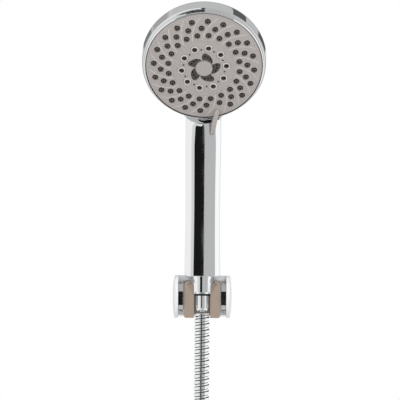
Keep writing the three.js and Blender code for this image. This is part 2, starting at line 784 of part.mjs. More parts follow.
// ---- far end of the hose: hexagon nut for the wall outlet ----
const tailTop = coilZ - coilStand
const tailBottom = tailTop - tailLength
const tailAxis = (geometry) => geometry.translate(-coilRadius, coilEndY, 0)
add(group, 'hose_tail', tailAxis(rod(hoseRadius, tailBottom, tailTop, 12)), chrome())
const tapSleeveLow = tailBottom - gap - 16
const ferruleRadius = sleeveRadius + 1.4
add(group, 'tap_sleeve', tailAxis(turned([
  [sleeveBore, tapSleeveLow], [threadRadius - 0.2, tapSleeveLow], [threadRadius - 0.2, tapSleeveLow + 2],
  [ferruleRadius, tapSleeveLow + 2], [ferruleRadius, tailBottom - gap], [sleeveBore, tailBottom - gap],
  [sleeveBore, tapSleeveLow],
], 20)), chrome())

const tapNutTop = tapSleeveLow + 2 + gap + 2.2
function tapNut() {
  const bottom = tapNutTop - tapNutHeight
  const bore = ferruleRadius + gap
  const corner = tapNutAcross / Math.sqrt(3)
  let nut = solid(rod(corner, bottom, tapNutTop, 6))
  const crown = rod(tapNutAcross / 2 + 0.8, bottom - 1, tapNutTop + 1, 32)
  nut = nut.intersect(solid(crown))
  const floor = tapNutTop - 2.2
  const inside = turned([[0, bottom - 1], [threadRadius + gap, bottom - 1], [threadRadius + gap, floor],
    [bore, floor], [bore, tapNutTop + 1], [0, tapNutTop + 1]], 20)
  return nut.subtract(solid(inside))
}
add(group, 'tap_nut', tailAxis(geometryOf(tapNut())), chrome())
const washerHigh = tapSleeveLow - gap
add(group, 'tap_washer', tailAxis(ring(4.4, threadRadius - 0.1, washerHigh - 2, washerHigh, 20)),
  blackRubber())

// ---- wall holder ----
const cheekInner = linerHalf + gap + barrelLobe + gap
const cheekOuter = cheekInner + cheekThickness

function holderOutline(radius, backHalf) {
  const outline = new THREE.Shape()
  outline.moveTo(-backRim, -backHalf)
  outline.lineTo(-backRim, backHalf)
  outline.lineTo(-reach, radius)
  outline.absarc(-reach, 0, radius, Math.PI / 2, 3 * Math.PI / 2)
  outline.closePath()
  return outline
}

function bracketBody() {
  const outer = solid(pushedAlongX(holderOutline(cheekRadius, backTop), 2 * cheekOuter))
  const far = 60
  const cuts = [
    onTiltAxis(rod(barrelRadius + gap, -cheekInner, cheekInner, 40)),
    block(-cheekInner, cheekInner, -reach - far, -reach + backWallFront, -far, far),
    block(-cheekInner, cheekInner, -reach - far, -reach + barrelRadius + gap, -far, 0),
    block(-baseHalfX - gap, baseHalfX + gap, -baseThickness - gap, far, -baseHalfZ - gap, baseHalfZ + gap),
    block(-10 - gap, 10 + gap, -baseThickness - baseBossDepth - gap, far, -8 - gap, 8 + gap),
    rod(grubRadius + gap, -far, 0, 14).translate(0, -baseThickness - baseBossDepth / 2, 0),
    block(-cheekInner, cheekInner, -far - reach, far, handleEnd - gap, far),
  ]
  for (const side of [-1, 1]) {
    cuts.push(onTiltAxis(rod(pivotShank + gap, 0, far), side))
    cuts.push(onTiltAxis(rod(pivotHead + gap, cheekOuter - 1.3, far), side))
    cuts.push(onTiltAxis(rod(ringRadius + gap, 0, cheekInner + ringThickness + gap), side))
  }
  return cuts.reduce((body, cut) => body.subtract(solid(cut)), outer)
}

function wallBase() {
  const plate = block(-baseHalfX, baseHalfX, -baseThickness, 0, -baseHalfZ, baseHalfZ)
  const boss = block(-10, 10, -baseThickness - baseBossDepth, -1, -8, 8)
  let base = solid(plate).add(solid(boss))
  const countersink = [[0, -1], [wallHoleRadius, -1], [wallHoleRadius, baseThickness - 2.4],
    [wallHoleRadius + 2.5, baseThickness + 0.1], [wallHoleRadius + 2.5, 20], [0, 20]]
  for (const x of [-wallHoleX - 1, wallHoleX + 1]) {
    base = base.subtract(solid(turned(countersink, 18).rotateX(Math.PI / 2).translate(x, 0, 0)))
  }
  return base
}

// the barrel that tilts: a cylinder with a flat top and a pocket for the liner
function tiltBarrel() {
  const half = cheekInner - gap
  let barrel = solid(onTiltAxis(rod(barrelRadius, -half, half, 40)))
  const far = 60
  const pocket = linerHalf + gap
  const cuts = [
    block(-far, far, -reach - far, -reach + far, barrelFlat, far),
    block(-pocket, pocket, -reach - far, -reach + linerBack + gap, -far, far),
  ]
  for (const side of [-1, 1]) {
    cuts.push(onTiltAxis(rod(pivotShank + gap, pocket + 0.8, far), side))
  }
  for (const cut of cuts) barrel = barrel.subtract(solid(cut))
  return barrel
}

// the liner: two jaws joined behind the hose, with a seat for the nut and a slot for the hose
function holderLiner() {
  const outline = new THREE.Shape()
  const edge = 1.2
  outline.moveTo(-linerHalf + edge, -linerBottom)
  outline.lineTo(linerHalf - edge, -linerBottom)
  outline.lineTo(linerHalf, -linerBottom + edge)
  outline.lineTo(linerHalf, barrelFlat)
  outline.lineTo(linerPeakX, barrelFlat + linerPeakRise)
  outline.lineTo(slotHalf, barrelFlat - 0.6)
  outline.lineTo(-slotHalf, barrelFlat - 0.6)
  outline.lineTo(-linerPeakX, barrelFlat + linerPeakRise)
  outline.lineTo(-linerHalf, barrelFlat)
  outline.lineTo(-linerHalf, -linerBottom + edge)
  outline.closePath()
  const depth = linerFront + linerBack
  const prism = new THREE.ExtrudeGeometry(outline, { depth, bevelEnabled: false })
  prism.rotateX(Math.PI / 2).translate(0, -reach + linerBack, 0)
  const far = 60
  const keep = solid(onTiltAxis(rod(barrelRadius, -far, far, 40)))
    .add(solid(block(-far, far, -reach - far, -reach, -far, far)))
  const seat = turned([
    [0, -far], [9.2, -far], [9.2, nutBottom - 1.3], [nutRadius + 0.3, nutBottom + 1.2],
    [nutRadius + 0.45, barrelFlat - 2], [nutRadius + 2.2, barrelFlat + linerPeakRise + 1], [0, far],
  ], 28)
  const slot = block(-slotHalf, slotHalf, -reach - far, -reach, -far, far)
  let liner = solid(prism).intersect(keep).subtract(solid(onAxis(seat))).subtract(solid(slot))
  // a flat lead-in is cut off the top inner corner of each jaw
  const front = -reach - linerFront
  for (const side of [-1, 1]) {
    const corners = [
      [side * 13.7, front, barrelFlat - 0.3], [side * slotHalf, front, 0.8],
      [side * slotHalf, front + 10, barrelFlat - 0.3], [0, front - 12, 30],
      [side * slotHalf, front - 2, 0.4], [0, front + 10, barrelFlat + 0.4],
      [side * 13.9, front - 2, barrelFlat],
    ]
    const wedge = new ConvexGeometry(corners.map((corner) => new THREE.Vector3(...corner)))
    liner = liner.subtract(solid(wedge))
  }
  return liner
}

add(group, 'wall_base', geometryOf(wallBase()), innerPlastic())
add(group, 'bracket_body', geometryOf(bracketBody()), chrome())
add(group, 'grub_screw', rod(grubRadius, -backTop + 0.6, -8 - gap, 12)
  .translate(0, -baseThickness - baseBossDepth / 2, 0), steel())
add(group, 'tilt_barrel', geometryOf(tiltBarrel()), chrome())
add(group, 'holder_liner', geometryOf(holderLiner()), linerBeige())
for (const [side, word] of [[-1, 'left'], [1, 'right']]) {
  const frictionRing = ring(pivotShank + gap, ringRadius, cheekInner, cheekInner + ringThickness, 18)
  add(group, `friction_ring_${word}`, onTiltAxis(frictionRing, side), blackRubber())
  const tip = linerHalf + gap + 1.1
  const headLow = cheekOuter - 1
  const pivotScrew = turned([
    [0, tip], [pivotShank, tip], [pivotShank, headLow], [pivotHead, headLow], [pivotHead, headLow + 1.5],
    [0, headLow + 1.5],
  ], 24)
  add(group, `pivot_screw_${word}`, onTiltAxis(pivotScrew, side), steel())
  const capRim = cheekRadius - 0.4
  const capFoot = cheekOuter + gap
  const dome = []
  for (let i = 0; i <= 4; i += 1) {
    const rise = 1 - (1 - i / 4) ** 2
    dome.push([capRim * (1 - i / 4), capFoot + 0.5 + (capHeight - 0.5) * rise])
  }
  const endCap = turned([
    [0, cheekOuter + 1], [pivotHead + 0.8, cheekOuter + 1], [pivotHead + 0.8, capFoot], [capRim, capFoot],
    ...dome,
  ], 28)
  add(group, `end_cap_${word}`, onTiltAxis(endCap, side), chrome())
}

export default group
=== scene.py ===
"""Handheld shower head seated in its swivelling wall holder, with its metal hose.

Everything is in metres, +Z up, with the wall's face at y = 0 and the object at y < 0.
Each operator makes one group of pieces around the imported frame, which stays as it is.
"""

import contextlib
import functools
import json
import math

import bmesh
import bpy
import numpy as np
from mathutils import Matrix, Vector


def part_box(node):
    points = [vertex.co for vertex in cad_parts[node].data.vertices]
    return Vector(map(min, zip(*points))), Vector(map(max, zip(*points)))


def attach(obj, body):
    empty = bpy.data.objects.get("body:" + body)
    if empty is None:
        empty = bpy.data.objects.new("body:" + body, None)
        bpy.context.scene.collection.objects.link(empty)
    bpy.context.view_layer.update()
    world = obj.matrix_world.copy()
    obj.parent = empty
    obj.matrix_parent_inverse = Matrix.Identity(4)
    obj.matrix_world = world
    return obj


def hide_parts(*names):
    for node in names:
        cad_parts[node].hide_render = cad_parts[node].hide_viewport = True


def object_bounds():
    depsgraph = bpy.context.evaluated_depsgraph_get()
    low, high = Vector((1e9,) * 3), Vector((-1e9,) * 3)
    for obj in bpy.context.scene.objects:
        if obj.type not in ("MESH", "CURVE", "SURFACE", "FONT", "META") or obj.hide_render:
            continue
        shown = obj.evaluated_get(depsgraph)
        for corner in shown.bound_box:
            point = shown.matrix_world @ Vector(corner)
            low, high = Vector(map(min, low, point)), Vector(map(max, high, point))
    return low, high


bl_info = {
    "name": "Shower head set",
    "version": (1, 0, 0),
    "blender": (4, 5, 0),
    "location": "3D View > Sidebar > Shower head",
    "description": "Makes a handheld shower head, its wall holder and its metal hose",
    "category": "Add Mesh",
}

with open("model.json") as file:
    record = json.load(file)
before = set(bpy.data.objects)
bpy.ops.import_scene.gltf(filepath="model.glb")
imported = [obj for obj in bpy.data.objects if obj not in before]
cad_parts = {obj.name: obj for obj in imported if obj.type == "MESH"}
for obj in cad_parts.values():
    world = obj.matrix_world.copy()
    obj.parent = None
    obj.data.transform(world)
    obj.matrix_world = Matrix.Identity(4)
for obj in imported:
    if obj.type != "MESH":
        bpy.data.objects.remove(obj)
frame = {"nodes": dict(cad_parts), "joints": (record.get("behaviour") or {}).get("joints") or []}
CAD_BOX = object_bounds()
MM = 0.001
JOINTS = {joint["name"]: joint for joint in frame["joints"]}

# The places that everything is built from, as the frame's own joints give them.
TILT_AT = Vector(JOINTS["holder_tilt"]["pos_m"])
HOSE_AT = Vector(JOINTS["hose_swing"]["pos_m"])
FACE_AT = Vector(JOINTS["spray_select"]["pos_m"])
SPRAY = Vector(JOINTS["spray_select"]["axis"]).normalized()
TAP_AT = Vector(JOINTS["tap_nut_spin"]["pos_m"])
UP_FACE = Vector((0, SPRAY.z, -SPRAY.y))
HEAD = Matrix.Translation(FACE_AT) @ Matrix(
    ((1, 0, 0), (0, UP_FACE.y, SPRAY.y), (0, UP_FACE.z, SPRAY.z))
).to_4x4()
AXIS = Matrix.Translation((0, TILT_AT.y, 0))
TAP = Matrix.Translation((TAP_AT.x, TAP_AT.y, 0))


def across(side):
    """Turns a piece made about +Z so that it lies along the tilt axis, to the left or right."""
    return Matrix.Translation(TILT_AT) @ Matrix.Rotation(side * math.pi / 2, 4, "Y")


def polar(radius, turn):
    """The place on a circle about the origin."""
    return radius * math.cos(turn), radius * math.sin(turn)


def linear(red, green, blue):
    """A colour written in the usual 0 to 255 steps, as the linear one that a shader takes."""
    def channel(value):
        value /= 255
        return value / 12.92 if value <= 0.04045 else ((value + 0.055) / 1.055) ** 2.4
    return tuple(channel(value) for value in (red, green, blue))


# ---------------------------------------------------------------- settings


def size(name, text, default):
    return bpy.props.FloatProperty(
        name=name, description=text, default=default * MM, min=0, subtype="DISTANCE",
        unit="LENGTH", precision=5)


def colour(name, text, default):
    return bpy.props.FloatVectorProperty(
        name=name, description=text, default=linear(*default), min=0, max=1, size=3,
        subtype="COLOR")


def length(name, text, default, **more):
    return bpy.props.FloatProperty(
        name=name, description=text, default=default, unit="LENGTH", **more)


class HeadSizes(bpy.types.PropertyGroup):
    drum_radius: size("Drum radius", "Outer radius of the drum behind the rim", 55)
    rim_radius: size("Rim radius", "Outer radius of the chromed rim", 54.1)
    face_radius: size("Face radius", "Radius of the grey spray face", 51)
    face_rise: size("Face rise", "How far the middle of the face stands proud", 5)
    neck_blend: size("Neck blend", "Size of the soft corner between neck and drum", 7)
    grip_half: size("Grip half width", "Half the width of the grip at its ends", 16.1)
    grip_waist: size("Grip waist", "Half the width of the grip at its waist", 15.5)
    ridge_height: size("Ridge height", "Height of the fine swirl lines on the face", 0.22)
    cup_radius: size("Cup radius", "Radius of the cup round each soft nozzle", 2.6)
    nub_radius: size("Nozzle tip radius", "Radius of a soft nozzle's tip", 1.3)


class HolderSizes(bpy.types.PropertyGroup):
    barrel_radius: size("Barrel radius", "Radius of the tilting barrel", 17.8)
    cheek_radius: size("Cheek radius", "Radius of the holder's two round cheeks", 18.9)
    edge: size("Edge", "Rounding along the holder's edges", 0.35)


class HoseSizes(bpy.types.PropertyGroup):
    radius: size("Hose radius", "Outside radius of the metal hose", 7)
    groove: size("Groove depth", "How far the narrow band lies below the broad one", 0.95)
    pitch: size("Pitch", "Length of one turn of the metal spiral", 5.5)
    coil_radius: size("Coil radius", "Radius of the coil at the middle of the hose", 70)


class Finishes(bpy.types.PropertyGroup):
    chrome: colour("Chrome", "Mirror plating", (247, 248, 249))
    satin: colour("Satin", "Satin plating of the wall holder", (241, 242, 244))
    # a dark metal for the steep sides of the hose's spiral: painted shade in its grooves
    seam: colour("Seam", "Painted shade on the steep sides of the metal hose's spiral", (52, 54, 58))
    face: colour("Face", "Spray face and lever", (173, 167, 164))
    # lighter than the face; on the swirl lines this tone is a painted highlight
    collar: colour("Collar", "Rings round the large jets, and the painted highlight on the swirl lines", (203, 196, 193))
    nozzle: colour("Nozzle", "Soft silicone nozzles", (84, 78, 74))
    insert: colour("Insert", "Dark insert behind the face", (72, 68, 66))
    liner: colour("Liner", "Split liner of the holder", (160, 144, 131))
    rubber: colour("Rubber", "Seals and rings", (22, 22, 23))
    inner: colour("Inner plastic", "Plates and tubes inside", (196, 196, 193))
    steel: colour("Steel", "Screws and springs", (176, 177, 179))
    brass: colour("Brass", "Threaded insert", (196, 164, 96))
    strap: colour("Strap", "Woven tie round the coil", (38, 38, 41))


class StageSettings(bpy.types.PropertyGroup):
    distance: length("Distance", "From the camera to the handle", 2.1, min=0.3)
    frame_width: length("Frame width", "Width of the view at the handle", 0.3575, min=0.05)
    height: length("Height", "Height of the camera", 0.1)
    middle: length("Middle", "Height at the middle of the view", 0.0864)
    aside: length("Aside", "How far the camera stands to the right", -0.0027)
    roll: bpy.props.FloatProperty(
        name="Roll", description="Lean of the camera", default=math.radians(-0.45),
        subtype="ANGLE")


def settings():
    return bpy.context.scene.shower


# ---------------------------------------------------------------- making meshes


HERE = Matrix.Identity(4)
# the angle between two faces from which the edge between them looks sharp, in degrees: as a rule,
# and on pieces that are mostly small curves
SHARP = 32
SOFT = 50


def placed(name, data):
    """A new object of the scene."""
    made = bpy.data.objects.new(name, data)
    bpy.context.scene.collection.objects.link(made)
    return made


@contextlib.contextmanager
def edited(mesh):
    """Opens a mesh for bmesh's tools and writes it back."""
    work = bmesh.new()
    work.from_mesh(mesh)
    yield work
    work.to_mesh(mesh)
    work.free()


def modified(made, kind, **values):
    """Runs one modifier with these settings and keeps its result as the piece's mesh."""
    step = made.modifiers.new(kind, kind)
    for key, value in values.items():
        setattr(step, key, value)
    view = bpy.context.evaluated_depsgraph_get()
    mesh = bpy.data.meshes.new_from_object(made.evaluated_get(view))
    made.modifiers.clear()
    old, made.data = made.data, mesh
    bpy.data.meshes.remove(old)
    mesh.name = made.name


def piece(name, points, faces, place=HERE, angle=SHARP):
    """An object of a mesh written in millimetres in its own frame, put in its place."""
    mesh = bpy.data.meshes.new(name)
    spots = np.asarray(points, float).reshape(-1, 3) * MM
    mesh.from_pydata(spots.tolist(), [], [list(face) for face in faces])
    mesh.transform(place)
    made = placed(name, mesh)
    tidy_mesh(made, angle)
    return made


def tidy_mesh(made, angle=SHARP, merge=2e-7):
    """Joins doubled corners, points the faces outwards and sets which edges look sharp."""
    with edited(made.data) as work:
        bmesh.ops.remove_doubles(work, verts=work.verts, dist=merge)
        bmesh.ops.dissolve_degenerate(work, dist=merge, edges=work.edges)
        bmesh.ops.recalc_face_normals(work, faces=work.faces)
    set_edges(made.data, angle)


def set_edges(mesh, angle=SHARP):
    mesh.shade_smooth()
    mesh.set_sharp_from_angle(angle=math.radians(angle))


def rounded(points, radius, steps=3, closed=False):
    """A line of corners with each corner rounded to the radius, or to what its sides allow."""
    nearly_straight, most_of_side = math.radians(86), 0.45
    corners = [np.asarray(point, float) for point in points]
    count = len(corners)
    line = []
    for i, corner in enumerate(corners):
        if not closed and i in (0, count - 1):
            line.append(corner)
            continue
        before, after = corners[i - 1] - corner, corners[(i + 1) % count] - corner
        side = min(np.linalg.norm(before), np.linalg.norm(after))
        before, after = before / np.linalg.norm(before), after / np.linalg.norm(after)
        half = math.acos(max(-1, min(1, float(before @ after)))) / 2
        if half > nearly_straight or side < 1e-6:
            line.append(corner)
            continue
        cut = min(radius / math.tan(half), most_of_side * side)
        bow = cut * math.tan(half)
        middle = before + after
        centre = corner + middle / np.linalg.norm(middle) * bow / math.sin(half)
        start, end = corner + before * cut - centre, corner + after * cut - centre
        for step in range(steps + 1):
            share = step / steps
            spoke = start * (1 - share) + end * share
            line.append(centre + spoke / np.linalg.norm(spoke) * bow)
    return line


def turned(name, profile, sides, place=HERE, angle=SHARP):
    """A profile of (radius, height) points turned about +Z into a closed skin."""
    points, rings, faces = [], [], []
    for radius, height in profile:
        if radius < 1e-6:
            rings.append([len(points)])
            points.append((0, 0, height))
            continue
        start = len(points)
        points += [(*polar(radius, 2 * math.pi * k / sides), height) for k in range(sides)]
        rings.append(list(range(start, start + sides)))
    if len(rings[0]) > 1:
        rings.append(rings[0])
    for low, high in zip(rings, rings[1:]):
        if len(low) == 1 and len(high) == 1:
            continue
        for k in range(sides):
            following = (k + 1) % sides
            if len(low) == 1:
                faces.append((low[0], high[following], high[k]))
            elif len(high) == 1:
                faces.append((low[k], low[following], high[0]))
            else:
                faces.append((low[k], low[following], high[following], high[k]))
    return piece(name, points, faces, place, angle)


def lofted(name, rings, place=HERE, angle=SHARP):
    """A skin over rings of the same number of points, closed at both ends."""
    count = len(rings[0])
    points = [point for ring in rings for point in ring]
    faces = []
    for i in range(len(rings) - 1):
        for k in range(count):
            a, b = i * count + k, i * count + (k + 1) % count
            faces.append((a, b, b + count, a + count))
    faces.append(tuple(reversed(range(count))))
    faces.append(tuple(range(len(points) - count, len(points))))
    return piece(name, points, faces, place, angle)


def block(low, high):
    """A cutting block between two corners in millimetres."""
    (x0, y0, z0), (x1, y1, z1) = low, high
    ring = [(x0, y0), (x1, y0), (x1, y1), (x0, y1)]
    return lofted("block", [[(*spot, z) for spot in ring] for z in (z0, z1)])


def rod(radius, low, high, place=HERE, sides=32):
    """A plain cylinder between two heights."""
    return turned("rod", [(0, low), (radius, low), (radius, high), (0, high)], sides, place)


def hull(name, corners):
    """The tightest skin round a few corners."""
    made = placed(name, bpy.data.meshes.new(name))
    with edited(made.data) as work:
        for corner in corners:
            work.verts.new(Vector(corner) * MM)
        found = bmesh.ops.convex_hull(work, input=work.verts)
        loose = [item for item in found["geom_interior"] if isinstance(item, bmesh.types.BMVert)]
        bmesh.ops.delete(work, geom=loose, context="VERTS")
    tidy_mesh(made)
    return made


def carve(made, cutters, operation="DIFFERENCE", angle=SHARP):
    """Cuts, joins or keeps what the other shapes say, one after another."""
    for cutter in cutters if isinstance(cutters, (list, tuple)) else [cutters]:
        modified(made, "BOOLEAN", operation=operation, solver="MANIFOLD", object=cutter)
        bpy.data.objects.remove(cutter)
    tidy_mesh(made, angle)
    return made


def joined(name, parts, angle=SHARP):
    """Several separate shapes as one mesh."""
    made = placed(name, bpy.data.meshes.new(name))
    with edited(made.data) as work:
        for part in parts:
            work.from_mesh(part.data)
            bpy.data.objects.remove(part)
    tidy_mesh(made, angle)
    return made


def soften(made, width, angle=38):
    """Rounds the sharp edges of a machined or moulded piece."""
    modified(made, "BEVEL", width=width, segments=2, limit_method="ANGLE",
             angle_limit=math.radians(angle), harden_normals=True, miter_outer="MITER_ARC")


def dress(made, material, body, slot, *replaced):
    """Gives a new piece its material, the body it moves with and the nodes it stands for."""
    if not made.data.has_custom_normals:
        # the broad faces set the shading, so that a soft edge doesn't bend a flat reflection
        modified(made, "WEIGHTED_NORMAL", keep_sharp=True, weight=100)
    made.data.materials.clear()
    made.data.materials.append(material)
    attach(made, body)
    if replaced:
        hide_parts(*replaced)
    return made


def box_of(node):
    """Two corners round a node of the frame, in millimetres."""
    return [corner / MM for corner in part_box(node)]


def finish_node(node, material):
    """A node whose shape is right keeps it and takes a better material."""
    kept = frame["nodes"][node]
    kept.data.materials.clear()
    kept.data.materials.append(material)
    set_edges(kept.data)
    return kept


# ---------------------------------------------------------------- finishes


class Tree:
    """A short way to add shader nodes and to set or wire their inputs."""

    def __init__(self, tree):
        self.nodes, self.links = tree.nodes, tree.links

    def add(self, kind, inputs=None, **values):
        """A new node, to the right of those that are there."""
        node = self.nodes.new(kind)
        node.location = (240 * len(self.nodes), 0)
        for key, value in values.items():
            setattr(node, key, value)
        return self.feed(node, inputs or {})

    def feed(self, node, inputs):
        """Gives each named input its number or colour, or wires it to another node's output."""
        for name, value in inputs.items():
            socket = node.inputs[name]
            if isinstance(value, bpy.types.NodeSocket):
                self.links.new(value, socket)
            else:
                socket.default_value = value
        return node

    def math(self, operation, *values):
        """The result of a Math node on numbers or outputs."""
        node = self.add("ShaderNodeMath", dict(enumerate(values)), operation=operation)
        return node.outputs[0]

    def effect(self, name, make, inputs):
        """A shared effect, built the first time that it is asked for."""
        group = bpy.data.node_groups.get(name) or make(name)
        return self.add("ShaderNodeGroup", inputs, node_tree=group).outputs

    def raise_surface(self, shader, height, strength, distance):
        """Lets a height bend the shading."""
        relief = self.add("ShaderNodeBump", {
            "Height": height, "Strength": strength, "Distance": distance})
        self.feed(shader, {"Normal": relief.outputs["Normal"]})


def effect_group(name, inputs, outputs):
    """A node group with named sockets: (name, type, default) in and (name, type) out."""
    group = bpy.data.node_groups.new(name, "ShaderNodeTree")
    for label, kind, default in inputs:
        socket = group.interface.new_socket(label, in_out="INPUT", socket_type=kind)
        socket.default_value = default
    for label, kind in outputs:
        group.interface.new_socket(label, in_out="OUTPUT", socket_type=kind)
    tree = Tree(group)
    return group, tree, tree.add("NodeGroupInput").outputs, tree.add("NodeGroupOutput")


def plating_haze(name):
    """Water film and finger marks on plating: a roughness that drifts between two values."""
    group, tree, given, end = effect_group(
        name,
        [("Scale", "NodeSocketFloat", 30), ("Clean", "NodeSocketFloat", 0.03),
         ("Hazed", "NodeSocketFloat", 0.08)],
        [("Roughness", "NodeSocketFloat")])
    place = tree.add("ShaderNodeTexCoord").outputs["Object"]
    cloud = tree.add("ShaderNodeTexNoise", {
        "Vector": place, "Scale": given["Scale"], "Detail": 5})
    spread = tree.add("ShaderNodeMapRange", {
        "Value": cloud.outputs["Fac"], "From Min": 0.42, "From Max": 0.72,
        "To Min": given["Clean"], "To Max": given["Hazed"]})
    tree.feed(end, {"Roughness": spread.outputs["Result"]})
    return group


def moulded_grain(name):
    """The fine grain of moulded plastic or rubber, as a height and a faint change of tint."""
    group, tree, given, end = effect_group(
        name,
        [("Colour", "NodeSocketColor", (0.5, 0.5, 0.5, 1)), ("Scale", "NodeSocketFloat", 1500),
         ("Drift", "NodeSocketFloat", 0.06), ("Clean", "NodeSocketFloat", 0.4),
         ("Worn", "NodeSocketFloat", 0.5)],
        [("Colour", "NodeSocketColor"), ("Height", "NodeSocketFloat"),
         ("Roughness", "NodeSocketFloat")])
    place = tree.add("ShaderNodeTexCoord").outputs["Object"]
    fine = tree.add("ShaderNodeTexNoise", {
        "Vector": place, "Scale": given["Scale"], "Detail": 2}).outputs["Fac"]
    broad = tree.add("ShaderNodeTexNoise", {
        "Vector": place, "Scale": 38, "Detail": 4}).outputs["Fac"]
    shift = tree.math("SUBTRACT", broad, 0.5)
    speck = tree.math("MULTIPLY", tree.math("SUBTRACT", fine, 0.5), 0.4)
    amount = tree.math("MULTIPLY", tree.math("ADD", shift, speck), given["Drift"])
    tint = tree.add("ShaderNodeVectorMath", {
        0: given["Colour"], "Scale": tree.math("ADD", amount, 1.0)}, operation="SCALE")
    rough = tree.add("ShaderNodeMapRange", {
        "Value": broad, "From Min": 0.35, "From Max": 0.65,
        "To Min": given["Clean"], "To Max": given["Worn"]})
    tree.feed(end, {"Colour": tint.outputs["Vector"], "Height": fine,
                    "Roughness": rough.outputs["Result"]})
    return group


def new_material(name):
    material = bpy.data.materials.new(name)
    material.use_nodes = True
    return material, Tree(material.node_tree), material.node_tree.nodes["Principled BSDF"]


def metal(name, tone, clean, hazed, scale=30.0, lines=None, metallic=1.0):
    """Bare or plated metal with a drifting haze, and with fine turning lines where it has them.

    Satin plating is only a little metallic: it mirrors the room softly and scatters the rest.
    """
    material, tree, shader = new_material(name)
    haze = tree.effect("Plating haze", plating_haze, {
        "Scale": scale, "Clean": clean, "Hazed": hazed})
    tree.feed(shader, {"Base Color": (*tone, 1), "Metallic": metallic,
                       "Roughness": haze["Roughness"]})
    if lines:
        wave = tree.add("ShaderNodeTexWave", {
            "Vector": tree.add("ShaderNodeTexCoord").outputs["Object"], "Scale": lines,
            "Distortion": 0.4}, bands_direction="Z")
        tree.raise_surface(shader, wave.outputs["Fac"], 0.04, 0.0001)
    return material


def grained(name, tone, clean, worn, grain, drift):
    """The start of a moulded or woven material, with the height of its grain."""
    material, tree, shader = new_material(name)
    grains = tree.effect("Moulded grain", moulded_grain, {
        "Colour": (*tone, 1), "Scale": grain, "Drift": drift, "Clean": clean, "Worn": worn})
    tree.feed(shader, {"Base Color": grains["Colour"], "Roughness": grains["Roughness"]})
    return material, tree, shader, grains["Height"]


def moulded(name, tone, clean, worn, grain=1500.0, depth=0.00001, drift=0.06):
    """Moulded plastic or rubber with a fine grain and a slightly uneven tone."""
    material, tree, shader, height = grained(name, tone, clean, worn, grain, drift)
    tree.raise_surface(shader, height, 0.35, depth)
    return material


def woven(name, tone):
    """Hook-and-loop webbing: ribs along the strap crossed by fine threads."""
    material, tree, shader, _ = grained(name, tone, 0.8, 0.95, 900, 0.3)
    tree.feed(shader, {"Sheen Weight": 0.3})
    place = tree.add("ShaderNodeTexCoord").outputs["Object"]
    ribs, threads = (
        tree.add("ShaderNodeTexWave", {"Vector": place, "Scale": scale, "Distortion": 0.6},
                 bands_direction=direction).outputs["Fac"]
        for scale, direction in ((260, "Z"), (420, "DIAGONAL")))
    height = tree.math("ADD", ribs, tree.math("MULTIPLY", threads, 0.5))
    tree.raise_surface(shader, height, 0.6, 0.0003)
    return material


def finish(name):
    """The material of that name, made the first time that it is asked for."""
    made = bpy.data.materials.get(name)
    if made:
        return made
    tones = settings().finishes
    make, tone, values, more = {
        "chromed moulding": (metal, tones.chrome, (0.02, 0.05), {}),
        "chromed turning": (metal, tones.chrome, (0.03, 0.07), {"lines": 900}),
        "satin plating": (metal, tones.satin, (0.3, 0.38), {"scale": 40, "metallic": 0.08}),
        "hose steel": (metal, tones.chrome, (0.03, 0.09), {"scale": 90}),
        # dark metal on the hose's steep sides: painted shade in the grooves
        "hose painted groove shade": (metal, tones.seam, (0.3, 0.45), {}),
        "face plastic": (moulded, tones.face, (0.42, 0.5), {}),
        # lighter than the face; on the swirl lines it is a painted highlight
        "collar plastic and painted ridge highlight": (moulded, tones.collar, (0.4, 0.48), {}),
        "nozzle silicone": (moulded, tones.nozzle, (0.5, 0.62), {"drift": 0.15}),
        "dark insert": (moulded, tones.insert, (0.45, 0.55), {}),
        "black rubber": (moulded, tones.rubber, (0.55, 0.7), {}),
        "liner plastic": (moulded, tones.liner, (0.5, 0.6),
                          {"grain": 1100, "drift": 0.09, "depth": 0.00003}),
        "inner plastic": (moulded, tones.inner, (0.45, 0.55), {}),
        "fixing steel": (metal, tones.steel, (0.22, 0.34), {"lines": 700}),
        "thread brass": (metal, tones.brass, (0.25, 0.36), {"lines": 700}),
        "strap webbing": (woven, tones.strap, (), {}),
    }[name]
    return make(name, tone, *values, **more)


# ---------------------------------------------------------------- stage


# What the plating mirrors: panels of the studio by direction, in degrees round from the camera
# (right is positive) and above level, with the panel's brightness and the softness of its edge.
STUDIO_PANELS = (
    ("left wall", (-120, -15), (-60, 40), 0.83, 12),
    ("left screen", (-150, -44), (-75, 60), 1.12, 14),
    ("right screen grey", (0, 53), (-75, 60), 0.6, 1),
    ("right light", (53, 140), (-75, 70), 1.25, 4),
    ("ceiling front", (-60, 60), (33, 80), 0.52, 4),
    ("under front", (-60, 60), (-95, -48), 0.6, 4),
    ("under rear", (120, 240), (-90, -50), 0.5, 6),
    ("shadow line below", (-180, 180), (-90, -78), 0.16, 2),
    ("dark doorway", (-20.5, 0.33), (-22, 33), 0.012, 0.06),
    ("doorway foot", (-1.2, 0.4), (-48, -21.5), 0.012, 0.06),
    ("rear ceiling", (130, 230), (40, 95), 0.64, 10),
    ("rear upper wall", (130, 230), (18, 40), 0.46, 8),
    ("rear shadow line", (130, 230), (6, 18), 0.25, 2.5),
    ("rear lamp", (136, 158), (13, 58), 0.64, 4),
    ("rear door", (148, 176), (5, 16), 0.12, 1.5),
    ("rear stand", (138, 156), (32, 46.5), 0.13, 1),
)
STUDIO_LIGHT = 1.0
PLAIN_LIGHT = 0.62
MIRRORED_TONE = 0.8


